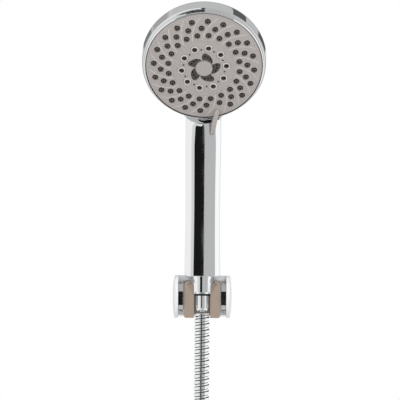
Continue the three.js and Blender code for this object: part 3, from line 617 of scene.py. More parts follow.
def studio_light(tree):
    """How bright the studio is in the direction that a ray leaves in."""
    way = tree.add("ShaderNodeTexCoord").outputs["Generated"]
    east, north, up = tree.add("ShaderNodeSeparateXYZ", {"Vector": way}).outputs
    toward = tree.math("MULTIPLY", north, -1.0)
    bearing = tree.math("MULTIPLY", tree.math("ARCTAN2", east, toward), 180 / math.pi)
    above = tree.math("MULTIPLY", tree.math("ARCSINE", up), 180 / math.pi)

    def step(value, edge, soft):
        """Rises from 0 to 1 as value passes the edge."""
        return tree.add("ShaderNodeMapRange", {
            "Value": value, "From Min": edge - soft / 2, "From Max": edge + soft / 2},
            interpolation_type="SMOOTHSTEP").outputs["Result"]

    def between(value, low, high, soft):
        return tree.math("SUBTRACT", step(value, low, soft), step(value, high, soft))

    light = STUDIO_LIGHT
    for name, (west, east_edge), (low, high), brightness, soft in STUDIO_PANELS:
        if east_edge > 180:
            # a panel behind the object is reached from both sides
            inside = step(tree.math("ABSOLUTE", bearing), west, soft)
        else:
            inside = between(bearing, west, east_edge, soft)
        mask = tree.math("MULTIPLY", inside, between(above, low, high, soft))
        light = tree.add("ShaderNodeMix", {0: mask, 2: light, 3: brightness},
                         data_type="FLOAT", label=name).outputs[0]
    return light


def studio_world():
    """A pale studio for the plating to mirror, plain and even for everything else."""
    world = bpy.data.worlds.new("studio")
    bpy.context.scene.world = world
    world.use_nodes = True
    world.node_tree.nodes.clear()
    tree = Tree(world.node_tree)
    plain, white, mirror = (
        tree.add("ShaderNodeBackground", {
            "Color": (tone, tone, tone, 1), "Strength": strength}).outputs[0]
        for tone, strength in ((1, PLAIN_LIGHT), (1, 1), (MIRRORED_TONE, studio_light(tree))))
    rays = tree.add("ShaderNodeLightPath").outputs
    glossy = tree.add("ShaderNodeMixShader", {"Fac": rays["Is Glossy Ray"], 1: plain, 2: mirror})
    seen = tree.add("ShaderNodeMixShader", {
        "Fac": rays["Is Camera Ray"], 1: glossy.outputs[0], 2: white})
    tree.add("ShaderNodeOutputWorld", {"Surface": seen.outputs[0]})


def softbox(name, place, target, width, height, power):
    """A soft lamp that lights the object and isn't itself mirrored in the plating."""
    lamp = bpy.data.lights.new(name, "AREA")
    lamp.shape = "RECTANGLE"
    lamp.size, lamp.size_y, lamp.energy = width, height, power
    holder = placed(name, lamp)
    holder.location = place
    holder.rotation_euler = (Vector(target) - Vector(place)).to_track_quat("-Z", "Y").to_euler()
    holder.visible_glossy = False


def pale_floor(height):
    """A plain pale floor that shows white and keeps the object's shadow."""
    half = 1.1 / MM
    ring = [(-half, -half, 0), (half, -half, 0), (half, half, 0), (-half, half, 0)]
    floor = piece("floor", ring, [(0, 1, 2, 3)], Matrix.Translation((0, 0, height)))
    material, tree, shader = new_material("floor")
    tree.feed(shader, {"Base Color": (0.82, 0.82, 0.82, 1), "Roughness": 0.9,
                       "Specular IOR Level": 0})
    rays = tree.add("ShaderNodeLightPath").outputs
    shown = tree.math("MAXIMUM", rays["Is Camera Ray"], rays["Is Transmission Ray"])
    glow = tree.add("ShaderNodeEmission", {"Strength": tree.math("MULTIPLY", shown, 0.6)})
    both = tree.add("ShaderNodeAddShader", {0: shader.outputs["BSDF"], 1: glow.outputs[0]})
    # from below the floor is clear, so that the underside can be looked at
    sides = tree.add("ShaderNodeMixShader", {
        "Fac": tree.add("ShaderNodeNewGeometry").outputs["Backfacing"],
        1: both.outputs[0], 2: tree.add("ShaderNodeBsdfTransparent").outputs[0]})
    tree.feed(material.node_tree.nodes["Material Output"], {"Surface": sides.outputs[0]})
    floor.data.materials.append(material)
    floor.visible_glossy = False


class SHOWER_OT_stage(bpy.types.Operator):
    """Makes the camera, the lamps, the studio and the floor"""

    bl_idname = "shower.stage"
    bl_label = "Stage"

    sensor = 36
    floor_gap = 2

    def execute(self, context):
        stage = settings().stage
        scene = context.scene
        scene.view_settings.view_transform = "Standard"
        lens = bpy.data.cameras.new("camera")
        lens.sensor_width = self.sensor
        lens.lens = self.sensor * stage.distance / stage.frame_width
        lens.clip_start, lens.clip_end = 0.05, 60
        lens.shift_y = (stage.middle - stage.height) / stage.frame_width
        scene.camera = placed("camera", lens)
        scene.camera.rotation_euler = (math.pi / 2, stage.roll, 0)
        scene.camera.location = (stage.aside, TILT_AT.y - stage.distance, stage.height)
        studio_world()
        low, high = CAD_BOX
        middle = (low + high) / 2
        # place and target in metres, width and height in metres, power in watts
        for lamp in (("key", (0.9, -1.2, 1.3), FACE_AT, 0.9, 0.9, 6.5),
                     ("fill", (-1.1, -1.3, 0.6), middle, 1.0, 1.2, 2.5),
                     ("top", (0, -0.2, 1.5), middle, 1.2, 0.8, 5),
                     ("front", (0.06, -1.9, 0.03), (0, 0, 0.03), 0.4, 0.12, 8)):
            softbox(*lamp)
        pale_floor(low.z - self.floor_gap * MM)
        return {"FINISHED"}


# ---------------------------------------------------------------- hose


class SHOWER_OT_hose(bpy.types.Operator):
    """Makes the metal hose, from the handset down to its coil and its far end"""

    bl_idname = "shower.hose"
    bl_label = "Metal hose"

    # the route in millimetres: where the hose leaves its sleeve, where it starts to bend aside,
    # the radius of that bend, how far aside it goes, and the tail below the coil
    top = -14.9
    straight = -95.0
    bend = 58.0
    shift = (-70.0, 22.0)
    strands = 3
    strand_gap = 14.8
    tail = 22.0
    clearance = 0.3
    length = 1.6
    # the spiral's cross-section: how far along its pitch each corner lies, how far in from the
    # broad band's radius (outer) or out from the narrow band's (inner), and the steep sides whose
    # faces are painted dark as shade in the grooves
    corners = ((0.0, "inner", -0.3), (0.06, "outer", -0.25), (0.11, "outer", 0),
               (0.48, "outer", 0), (0.53, "outer", -0.25), (0.59, "inner", -0.3),
               (0.65, "inner", 0.05), (0.93, "inner", 0.05))
    seams = (0, 4, 5, 7)
    sides = 26

    def route(self):
        """The centreline from the handset's sleeve to the far end, in millimetres."""
        hose = settings().hose
        ring, half = hose.coil_radius / MM, hose.radius / MM
        x, y = 0.0, TILT_AT.y / MM
        line = [(x, y, z) for z in np.linspace(self.top, self.straight, 16)]
        sideways = math.hypot(*self.shift)
        turn = math.acos(1 - sideways / (2 * self.bend))
        drop = 2 * self.bend * math.sin(turn)
        steps = 26
        for i in range(1, 2 * steps + 1):
            angle = turn * (i if i <= steps else 2 * steps - i) / steps
            out = self.bend * (1 - math.cos(angle))
            down = self.bend * math.sin(angle)
            if i > steps:
                out, down = sideways - out, drop - down
            share = out / sideways
            line.append((self.shift[0] * share, y + self.shift[1] * share, self.straight - down))
        stand = math.sqrt((ring + half + self.clearance) ** 2 - (ring - half) ** 2)
        centre = self.straight - drop - stand
        y += self.shift[1]
        line += [(-ring, y, z) for z in np.linspace(self.straight - drop, centre, 9)[1:]]
        per_turn = 60
        for i in range(1, per_turn * self.strands + 1):
            angle = math.pi + 2 * math.pi * i / per_turn
            line.append((ring * math.cos(angle), y - self.strand_gap * i / per_turn,
                         centre + ring * math.sin(angle)))
        y -= self.strand_gap * self.strands
        end = centre - stand - self.tail
        line += [(-ring, y, z) for z in np.linspace(centre, end, 12)[1:]]
        return np.array(line)

    def execute(self, context):
        line = self.route()
        made = self.spiral_skin("metal_hose", line)
        painted_shade_faces = [face.material_index for face in made.data.polygons]
        dress(made, finish("hose steel"), "hose_run", "hose_metal",
              "hose", "hose_coil", "hose_tail")
        # the spiral's steep sides take the dark metal: painted shade in its grooves
        made.data.materials.append(finish("hose painted groove shade"))
        made.data.polygons.foreach_set("material_index", painted_shade_faces)
        self.strap()
        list(far_fittings())
        return {"FINISHED"}

    def spiral_skin(self, name, line):
        """The interlocked metal spiral: a broad and a narrow band that wind together."""
        hose = settings().hose
        radii = {"outer": hose.radius / MM, "inner": (hose.radius - hose.groove) / MM}
        pitch, sides, count = hose.pitch / MM, self.sides, len(self.corners)
        along = np.concatenate([[0], np.cumsum(np.linalg.norm(np.diff(line, axis=0), axis=1))])
        # the spiral runs about a turn and a half past each end, where it is trimmed afterwards
        steps = (int(along[-1] / pitch) + 3) * sides
        place, radius, angle = np.array([
            (pitch * (t / sides + start - 1.5), radii[band] + out, 2 * math.pi * t / sides)
            for t in range(steps + 1) for start, band, out in self.corners]).T
        spots, ends = self.wound(line, along, place, radius, angle)
        faces = []
        for t in range(steps):
            for k in range(count):
                a = t * count + k
                if k + 1 < count:
                    b = a + 1
                elif t + sides < steps:
                    # the last corner meets the first one of the next turn
                    b = (t + sides) * count
                else:
                    continue
                faces.append((a, b, b + count, a + count))
        made = piece(name, spots, faces, angle=SOFT)
        # marks the steep sides' faces for the dark metal of the painted shade
        painted_shade_faces = np.isin(np.arange(len(faces)) % count, self.seams).astype(np.int32)
        made.data.polygons.foreach_set("material_index", painted_shade_faces[:len(made.data.polygons)])
        reach = 3 * pitch
        self.trim(made, [(line[0], -ends[0], np.flatnonzero(place < reach)),
                         (line[-1], ends[1], np.flatnonzero(place > along[-1] - reach))])
        return made

    def wound(self, line, along, place, radius, angle):
        """Spots at distances along the line, out from it and round it, and its end directions."""
        tangents = np.gradient(line, along, axis=0)
        tangents /= np.linalg.norm(tangents, axis=1)[:, None]
        # a frame carried along the line without twisting about it
        sideways = np.zeros_like(line)
        side = np.array([1.0, 0, 0])
        for i, tangent in enumerate(tangents):
            side = side - tangent * (side @ tangent)
            side /= np.linalg.norm(side)
            sideways[i] = side
        inside = np.clip(place, 0, along[-1])
        spots, forward, out = (
            np.stack([np.interp(inside, along, values[:, k]) for k in range(3)], 1)
            for values in (line, tangents, sideways))
        forward /= np.linalg.norm(forward, axis=1)[:, None]
        out -= forward * np.sum(out * forward, axis=1)[:, None]
        out /= np.linalg.norm(out, axis=1)[:, None]
        other = np.cross(forward, out)
        spots += forward * (place - inside)[:, None]
        spots += (out * np.cos(angle)[:, None] + other * np.sin(angle)[:, None]) * radius[:, None]
        return spots, (tangents[0], tangents[-1])

    def trim(self, made, ends):
        """Cuts the skin square at both ends and closes it there.

        Each end cuts only its own stretch, because its plane also passes through the coil.
        """
        with edited(made.data) as work:
            work.verts.ensure_lookup_table()
            ends = [(spot, way, [work.verts[i] for i in near]) for spot, way, near in ends]
            for spot, way, near in ends:
                held = set(near).issuperset
                stretch = [*near, *(edge for edge in work.edges if held(edge.verts)),
                           *(face for face in work.faces if held(face.verts))]
                bmesh.ops.bisect_plane(work, geom=stretch, plane_co=Vector(spot) * MM,
                                       plane_no=Vector(way), clear_outer=True)
            edges = [edge for edge in work.edges if edge.is_boundary]
            bmesh.ops.holes_fill(work, edges=edges)
        tidy_mesh(made, SOFT)

    def strap(self):
        """The woven tie round the coil's strands, with its free end lapped over."""
        low, high = box_of("coil_tie")
        middle, half = (low.z + high.z) / 2, 5.8
        thick, lap = 1.2, 1.25
        outline = rounded([(low.x + thick + 4, low.y), (high.x, low.y), (high.x, high.y),
                           (low.x, high.y), (low.x, low.y)], 3.2, 5)[:-1]
        outline += [np.array((x, low.y - lap)) for x in (low.x + 0.1, high.x - 5)]
        rings = []
        for i, spot in enumerate(outline):
            before, after = outline[max(i - 1, 0)], outline[min(i + 1, len(outline) - 1)]
            tangent = (after - before) / np.linalg.norm(after - before)
            inner = spot + np.array((-tangent[1], tangent[0])) * thick
            rings.append([(*spot, middle - half), (*spot, middle + half),
                          (*inner, middle + half), (*inner, middle - half)])
        made = lofted("coil_strap", rings)
        return dress(made, finish("strap webbing"), "hose_run", "tie_fabric", "coil_tie")


def far_fittings():
    """The ferrule, hexagon nut and washer on the hose's far end."""
    low, high = box_of("tap_sleeve")
    flange, neck, swell, bore = 9.1, 6.9, 7.35, 2.4
    ferrule = turned("tap_ferrule", rounded([
        (bore, low.z), (flange, low.z), (flange, low.z + 2), (neck, low.z + 2), (neck, low.z + 8),
        (swell, low.z + 8.6), (swell, high.z - 1), (neck, high.z), (bore, high.z)], 0.4), 64, TAP)
    dress(ferrule, finish("chromed turning"), "hose_run", "chromed_brass", "tap_sleeve")
    low, high = box_of("tap_nut")
    flats, thread, mouth, floor = 12.0, 9.6, 7.2, high.z - 2.2
    corner = flats * 2 / math.sqrt(3)
    nut = turned("tap_hexagon", [(0, low.z), (corner, low.z), (corner, high.z), (0, high.z)],
                 6, TAP)
    foot, rim, slope = flats + 0.2, flats + 2.4, 1.6
    crown = rounded([(0, low.z), (foot, low.z), (rim, low.z + slope), (rim, high.z - slope),
                     (foot, high.z), (0, high.z)], 0.5)
    carve(nut, turned("crown", crown, 96, TAP), "INTERSECT")
    carve(nut, turned("inside", [(0, low.z - 2), (thread, low.z - 2), (thread, floor),
                                 (mouth, floor), (mouth, high.z + 2), (0, high.z + 2)], 64, TAP))
    soften(nut, 0.3 * MM)
    dress(nut, finish("chromed turning"), "tap_end", "chromed_brass", "tap_nut")
    return [ferrule, nut, finish_node("tap_washer", finish("black rubber"))]


# ---------------------------------------------------------------- shell


# The chromed moulding, in millimetres: the grip along its own axis, with how much shallower than
# wide it is and how square its corners are at its foot and in the neck, and where the neck flares.
GRIP_LOW = 18.4
GRIP_TOP = 16.0
GRIP_RISE = (GRIP_LOW + 1, 135.2)
FLATNESS = 0.9
CORNER = 3.4
NECK_CORNER = 2.2
NECK_HIGH = 156.2
NECK_FLARE = 16.0
FLARE_FROM = 0.35
# The drum along the spray's axis: where its side turns in, the radius of that turn, and its back.
DRUM_CORNER = -17.5
DRUM_TURN = 4.5
DRUM_BACK = -32.5
WALL = 2.8
RIM_BACK = -3.3
RIM_CLEAR = 2.3
SCREW_BOSS = 5
SCREW_BORE = 2.6


def section(centre, tangent, half, depth, power, count):
    """A rounded-square section across the tangent at a centre in the y-z plane."""
    across_ = np.array((0, tangent[2], -tangent[1]))
    ring = []
    for k in range(count):
        turn = 2 * math.pi * k / count
        x, y = (reach * math.copysign(abs(share) ** (2 / power), share)
                for reach, share in ((half, math.cos(turn)), (depth, math.sin(turn))))
        ring.append(np.asarray(centre) + np.array((x, 0, 0)) + across_ * y)
    return ring


def neck_line(count):
    """The neck's curve, from the handle's axis into the back of the drum."""
    into = HEAD @ Vector((0, 0, (7 + DRUM_CORNER) * MM)) / MM
    y = TILT_AT.y / MM
    bend = NECK_HIGH + 4
    # places in the y-z plane that the curve passes through
    points = [(y, NECK_HIGH - 22), (y, NECK_HIGH - 8), (y - 0.6, bend), (y - 3.4, bend + 15),
              (y - 9.5, bend + 28), (into.y + 3, into.z - 6)]
    points = np.array([(0, *point) for point in points])
    first, last = 2 * points[0] - points[1], 2 * points[-1] - points[-2]
    walk = np.vstack([first, points, last])
    line = []
    for i in range(count):
        at = min(i / (count - 1) * (len(points) - 1), len(points) - 1 - 1e-9)
        k = int(at)
        four = walk[k:k + 4]
        gaps = np.linalg.norm(np.diff(four, axis=0), axis=1) ** 0.5
        t = at - k
        before = ((four[1] - four[0]) / gaps[0] - (four[2] - four[0]) / (gaps[0] + gaps[1])
                  + (four[2] - four[1]) / gaps[1]) * gaps[1]
        after = ((four[2] - four[1]) / gaps[1] - (four[3] - four[1]) / (gaps[1] + gaps[2])
                 + (four[3] - four[2]) / gaps[2]) * gaps[1]
        line.append(four[1] + before * t + (3 * (four[2] - four[1]) - 2 * before - after) * t ** 2
                    + (2 * (four[1] - four[2]) + before + after) * t ** 3)
    line = np.array(line)
    tangents = np.gradient(line, axis=0)
    return line, tangents / np.linalg.norm(tangents, axis=1)[:, None]


def grip_sizes(z, along):
    """Half width, half depth and squareness at a height on the grip and a share of the neck."""
    head = settings().head
    ends, waist = head.grip_half / MM, head.grip_waist / MM
    start, stop = GRIP_RISE
    t = np.clip((z - start) / (stop - start), 0, 1)
    plain = ends + (GRIP_TOP - ends) * t - (ends - waist) * np.sin(math.pi * t)
    flare = NECK_FLARE * np.maximum(0, along - FLARE_FROM) ** 2
    return (plain + flare, plain * (FLATNESS + (1 - FLATNESS) * along),
            CORNER + (NECK_CORNER - CORNER) * along)


def grip_and_neck(count, low):
    """Sections from below the grip's end to inside the drum."""
    rings = []
    for z in [low, *np.linspace(GRIP_LOW, NECK_HIGH - 24, 30)]:
        spot = (0, TILT_AT.y / MM, z)
        rings.append(section(spot, (0, 0, 1), *grip_sizes(z, 0), count))
    line, tangents = neck_line(26)
    for share, spot, tangent in zip(np.linspace(0, 1, len(line)), line, tangents):
        rings.append(section(spot, tangent, *grip_sizes(NECK_HIGH, share), count))
    return rings


def drum_rough():
    """A plain skin near the drum's surface, for the shell's mesh to start from."""
    drum = settings().head.drum_radius / MM
    return [(0, 4), (drum - 1, 4), (drum, DRUM_CORNER), (drum - 5, DRUM_CORNER - 4),
            (0, DRUM_BACK)]


def drum_hollow():
    """The room inside the drum, one wall in from its outside."""
    inner = settings().head.drum_radius / MM - WALL
    profile = [(0, 1), (inner, 1), (inner, DRUM_CORNER)]
    rise = DRUM_BACK + WALL - DRUM_CORNER
    for i in range(1, 13):
        radius = inner * (1 - i / 12)
        profile.append((radius, DRUM_CORNER + rise * (1 - (radius / inner) ** 2)))
    return profile


def drum_field(points):
    """Distance from the drum's outside in millimetres, negative inside it."""
    head = settings().head
    drum = head.drum_radius / MM
    turn = np.array(HEAD.inverted().to_3x3())
    x, y, z = ((points - np.array(HEAD.translation) / MM) @ turn.T).T
    radius = np.hypot(x, y)
    # the side narrows towards the rim, starting softly a little in front of the back's corner
    narrow_from = DRUM_CORNER + 2
    taper = (drum - head.rim_radius / MM - 0.1) / (RIM_BACK - narrow_from)
    side = radius - drum + taper * np.logaddexp(0, z - narrow_from)
    edge, rise = drum - DRUM_TURN, DRUM_CORNER - DRUM_TURN - DRUM_BACK
    back = DRUM_BACK + rise * (radius / edge) ** 2 - z
    back /= np.sqrt(1 + (2 * rise * radius / edge ** 2) ** 2)
    corner = np.hypot(np.maximum(side + DRUM_TURN, 0), np.maximum(back + DRUM_TURN, 0))
    return np.maximum(np.minimum(np.maximum(side, back), -DRUM_TURN) + corner, z - 4)


def nearest_sample(points):
    """Which sample of the grip's centreline lies nearest to each point."""
    spots = grip_samples()[0].astype(np.float32)
    best = np.empty(len(points), int)
    batch = 4000
    for start in range(0, len(points), batch):
        part = points[start:start + batch].astype(np.float32)
        gaps = (part[:, 1:2] - spots[:, 1]) ** 2
        gaps += (part[:, 2:3] - spots[:, 2]) ** 2
        best[start:start + batch] = gaps.argmin(1)
    return np.clip(best, 1, len(spots) - 2)


def grip_field(points, best):
    """Distance from the grip and neck's outside in millimetres, negative inside them."""
    spots, tangents, halves, depths, powers = grip_samples()
    yz = points[:, 1:]
    # walk from the nearest sample along the curve to the point's own foot
    step = ((yz - spots[best, 1:]) * tangents[best, 1:]).sum(1)
    span = np.where(step > 0, np.linalg.norm(spots[best + 1] - spots[best], axis=1),
                    np.linalg.norm(spots[best] - spots[best - 1], axis=1))
    share = np.clip(np.abs(step) / span, 0, 1)[:, None]
    other = best + np.where(step > 0, 1, -1)
    foot, way, half, depth, power = (
        values[best] * (1 - part) + values[other] * part
        for values, part in ((spots, share), (tangents, share), (halves, share[:, 0]),
                             (depths, share[:, 0]), (powers, share[:, 0])))
    off = (yz[:, 0] - foot[:, 1]) * way[:, 2] - (yz[:, 1] - foot[:, 2]) * way[:, 1]
    u, v = np.abs(points[:, 0]) / half + 1e-9, np.abs(off) / depth + 1e-9
    level = (u ** power + v ** power) ** (1 / power)
    slope = np.hypot((u / level) ** (power - 1) / half, (v / level) ** (power - 1) / depth)
    return (level - 1) / slope


@functools.cache
def grip_samples(count=420, window=41):
    """The grip and neck's centreline and section, sampled finely along it and eased."""
    curve, _ = neck_line(count)
    lengths = np.concatenate([[0], np.cumsum(np.linalg.norm(np.diff(curve, axis=0), axis=1))])
    lowest, step = 8.0, 0.5
    straight = np.arange(lowest, curve[0][2], step)
    spots = np.vstack([[(0, TILT_AT.y / MM, z) for z in straight], curve])
    sizes = grip_sizes(np.concatenate([straight, np.full(count, NECK_HIGH)]),
                       np.concatenate([np.zeros(len(straight)), np.linspace(0, 1, count)]))
    weights = np.hanning(window)
    weights /= weights.sum()

    def eased(values):
        return np.convolve(np.pad(values, window // 2, mode="edge"), weights, mode="valid")

    along = np.concatenate([straight - curve[0][2], lengths])
    tangents = np.gradient(spots, along, axis=0)
    tangents = np.stack([eased(tangents[:, k]) for k in range(3)], 1)
    tangents /= np.linalg.norm(tangents, axis=1)[:, None]
    return spots, tangents, *(eased(values) for values in sizes)


def shell_field(points, near):
    """Drum, neck and grip as one smooth outside, with a soft corner where they meet."""
    soft = settings().head.neck_blend / MM
    drum, grip = drum_field(points), grip_field(points, near)
    return np.minimum(drum, grip) - np.maximum(soft - np.abs(drum - grip), 0) ** 2 / (4 * soft)


def slope_of_shell(points, near, reach=0.02):
    """The gradient of the shell's field at each point."""
    steps = []
    for axis in np.eye(3) * reach:
        rise = shell_field(points + axis, near) - shell_field(points - axis, near)
        steps.append(rise / (2 * reach))
    return np.stack(steps, 1)


def read(items, field, width, kind=float):
    """One field of a mesh's corners, faces or the like, as an array of rows."""
    values = np.empty(len(items) * width, kind)
    items.foreach_get(field, values)
    return values.reshape(-1, width) if width > 1 else values


def settle(made, rounds=3):
    """Moves a mesh's corners onto the shell's surface."""
    spots = read(made.data.vertices, "co", 3) / MM
    for _ in range(rounds):
        near = nearest_sample(spots)
        slope = slope_of_shell(spots, near)
        away = shell_field(spots, near) / np.maximum((slope ** 2).sum(1), 0.2)
        spots -= slope * away[:, None]
    made.data.vertices.foreach_set("co", (spots * MM).ravel())
    made.data.update()


def polish(made):
    """Gives the mirror surface the shell's own directions, so that it reflects evenly."""
    mesh = made.data
    spots = read(mesh.vertices, "co", 3) / MM
    near = nearest_sample(spots)
    slope = slope_of_shell(spots, near)
    slope /= np.linalg.norm(slope, axis=1)[:, None]
    on_surface = np.abs(shell_field(spots, near)) < 0.03
    corners = read(mesh.corner_normals, "vector", 3)
    index = read(mesh.loops, "vertex_index", 1, int)
    totals = read(mesh.polygons, "loop_total", 1, int)
    faces = np.repeat(read(mesh.polygons, "normal", 3), totals, axis=0)
    # a cut's own faces keep their own directions
    follows = on_surface[index] & ((faces * slope[index]).sum(1) > 0.75)
    corners[follows] = slope[index][follows]
    mesh.normals_split_custom_set(corners.tolist())


class SHOWER_OT_shell(bpy.types.Operator):
    """Makes the chromed moulding: drum, neck and grip in one, hollow for the parts inside"""

    bl_idname = "shower.shell"
    bl_label = "Handset shell"

    # millimetres: the first mesh's cells; the insert's bore and its upper end; the room for the
    # water tube; and the roll of the drum's lip
    voxel = 0.8
    bore, shoulder, passage = 12.5, 31.3, 11.3
    roll = 0.6
    # the rounding of the grip's foot: how far in from the grip's side, and how far up
    foot = ((1.1, 0), (0.55, 0.12), (0.2, 0.4), (-0.02, 1.1), (-3, 2.2), (-90, 3), (-90, 260))

    def execute(self, context):
        made = joined("handset_shell", [turned("rough drum", drum_rough(), 128, HEAD),
                                        lofted("rough grip", grip_and_neck(48, 12.0))])
        modified(made, "REMESH", mode="VOXEL", voxel_size=self.voxel * MM)
        settle(made)
        half, y = settings().head.grip_half / MM, TILT_AT.y / MM
        carve(made, lofted("keep", [
            section((0, y, GRIP_LOW + rise), (0, 0, 1), half - drop, half * FLATNESS - drop,
                    CORNER, 96) for drop, rise in self.foot]), "INTERSECT")
        carve(made, [turned("rim space", self.rim_space(), 256, HEAD),
                     turned("hollow", drum_hollow(), 160, HEAD), *self.waterway()])
        carve(made, rod(SCREW_BOSS, DRUM_BACK + 1.3, -13.3, HEAD, 48), "UNION")
        carve(made, rod(SCREW_BORE, DRUM_BACK + 5.8, 0, HEAD, 32))
        polish(made)
        dress(made, finish("chromed moulding"), "handset", "chromed_plastic", "body_shell")
        return {"FINISHED"}

    def rim_space(self):
        """What is cut from the drum's front: its lip rolls in towards the face."""
        head = settings().head
        rim = head.rim_radius / MM + 0.1 + RIM_CLEAR
        lip, edge, roll = head.face_radius / MM + 1.75, RIM_BACK - 1.3, self.roll
        curl = [(lip + roll * math.sin(turn), edge - roll + roll * math.cos(turn))
                for turn in np.linspace(0, math.pi / 2, 9)]
        return [(0, edge), *curl, (rim, edge - roll - 0.5), (rim, 40), (0, 40)]

    def waterway(self):
        """What is cut from the grip and neck: the bore of the insert and the way of the tube."""
        low, high = GRIP_LOW - 2, NECK_HIGH - 12
        bore = [(0, low), (self.bore, low), (self.bore, self.shoulder),
                (self.passage, self.shoulder), (self.passage, high), (0, high)]
        return [turned("bore", bore, 64, AXIS), lofted("passage", [
            section(spot, tangent, self.passage, self.passage, 2, 40)
            for spot, tangent in zip(*neck_line(14))])]


# ---------------------------------------------------------------- spray face


# The face, in millimetres in the head's frame and degrees about its middle. Its edge lies below
# the rim's plane; its back slopes from one radius to a little inside its edge.
FACE_EDGE = -0.6
FACE_WALL = 2.2
BACK_START = 15.8
BACK_END = 1.6
HUB_CAP = 7.4
HUB_EDGE = HUB_CAP + 0.3
# fine raised rings: radius and height
RIDGES = ((26.6, 0.35), (15.9, 0.15))
# rings of soft nozzles: how far in from the face's edge, and the first one's angle
NOZZLE_RINGS = ((6.9, 14.2), (13, 21.6), (19.5, 29.1))
NOZZLES_IN_RING = 20
# the large jets and the pins between them: how many, their radius and the first one's angle
JETS = 10
JET_RING = (JETS, 19.7, 6.8)
JET_HOLE = 2.3
JET_COLLAR = 3.6
PIN_RING = (JETS, 18.2, 26)
PIN_HOLE = 0.95
SWIRLS = 20
VANES = 5
VANE_INNER = 7.9
VANE_OUTER = 16.2
VANE_LEAD = 29
VANE_TRAIL = -39
LEVER_ANGLE = -75.8
# half of the section across the lever's top: shares of its half width, and heights
LEVER_CREST = ((0.96, -0.7), (0.9, -0.2), (0.76, 0), (0.58, -0.15), (0.35, -0.5), (0, -0.65))
# where an insert pad's three holes sit: radius, and degrees from the vane's own line
PAD_HOLES = ((11.6, 15), (11.1, 1), (10.5, -14))


def dome(radius):
    """Height of the face's shallow dome above the rim's plane."""
    head = settings().head
    return FACE_EDGE + head.face_rise / MM * (1 - (radius / (head.face_radius / MM)) ** 2)


def turns_about(count, phase=0.0):
    """Turns spaced evenly about the head's middle, as places with no shift."""
    return [(0, 0, 0, math.radians(phase) + 2 * math.pi * k / count) for k in range(count)]


def ring_places(count, radius, phase):
    """Places spaced evenly round the dome, each turned to face its middle."""
    return [(*polar(radius, turn), dome(radius), turn) for *_, turn in turns_about(count, phase)]


def nozzle_places():
    """Every soft nozzle's place; the one under the lever's root is left out."""
    face = settings().head.face_radius / MM
    lever = math.radians(LEVER_ANGLE)
    for number, (inset, phase) in enumerate(NOZZLE_RINGS):
        for place in ring_places(NOZZLES_IN_RING, face - inset, phase):
            if number or abs(math.remainder(place[3] - lever, 2 * math.pi)) > 0.1:
                yield place


def many(name, first, places, angle=SHARP):
    """Copies of one small shape, each moved to its place in the head's frame, in one mesh."""
    points = np.array([tuple(vertex.co / MM) for vertex in first.data.vertices])
    faces = [tuple(face.vertices) for face in first.data.polygons]
    bpy.data.objects.remove(first)
    spots, sides = [], []
    for x, y, z, turn in places:
        cosine, sine = polar(1, turn)
        turned_ = points @ np.array(((cosine, sine, 0), (-sine, cosine, 0), (0, 0, 1)))
        sides += [tuple(v + len(spots) * len(points) for v in face) for face in faces]
        spots.append(turned_ + (x, y, z))
    return piece(name, np.concatenate(spots), sides, HEAD, angle)


def crescent(inset):
    """A crescent, broad and round at its leading end and thin at its trailing one."""
    lead, trail = VANE_LEAD - 5 * inset, VANE_TRAIL + 10 * inset
    inner, span = VANE_INNER + inset, VANE_OUTER - VANE_INNER - 2 * inset
    outline, steps, round_from = [], 21, 0.72
    for k in range(steps + 1):
        t = (k / steps) ** 0.8
        past = max(0, t - round_from) / (1 - round_from)
        outline.append((inner + 0.1 + span * t ** 0.7 * math.sqrt(max(0, 1 - past ** 2)), t))
    outline += [(inner, t) for t in (0.985, 0.8, 0.6, 0.4, 0.2, 0.015)]
    return [polar(radius, math.radians(trail + (lead - trail) * t)) for radius, t in outline]


def crescent_prism(inset, levels):
    """A crescent pushed along the spray direction; levels are (height, growth) pairs."""
    return lofted("crescent", [[(*spot, height) for spot in crescent(inset - growth)]
                               for height, growth in levels])


def swirl_ridges():
    """Fine raised lines that sweep outwards over the face, tapering at both ends."""
    height, width = settings().head.ridge_height / MM, 0.85
    start, reach, sweep, bend, steps = 27.3, 21.2, -17.8, 1.4, 36
    # a line's section: a share of its half width, a depth below the dome, a share of its height
    shape = ((-1, -0.5, 0), (-1, -0.01, 0), (-0.6, 0, 0.62), (0, 0, 1), (0.6, 0, 0.62),
             (1, -0.01, 0), (1, -0.5, 0))
    rings = []
    for i in range(steps + 1):
        t = i / steps
        radius = start + reach * t
        slope = math.radians(sweep * bend * t ** (bend - 1)) / reach * radius
        ends = min(1, 6 * t + 0.08, 6 * (1 - t) + 0.08)
        out = np.array(polar(1, math.radians(sweep * t ** bend)))
        side = np.array((-out[1], out[0]))
        across_ = (side - out * slope) / math.hypot(slope, 1)
        half = width / 2 * (0.35 + 0.65 * ends)
        rings.append([(*(out * radius + across_ * half * s),
                       dome(radius) + low + share * height * ends) for s, low, share in shape])
    return many("swirls", lofted("swirl", rings), turns_about(SWIRLS, 3))


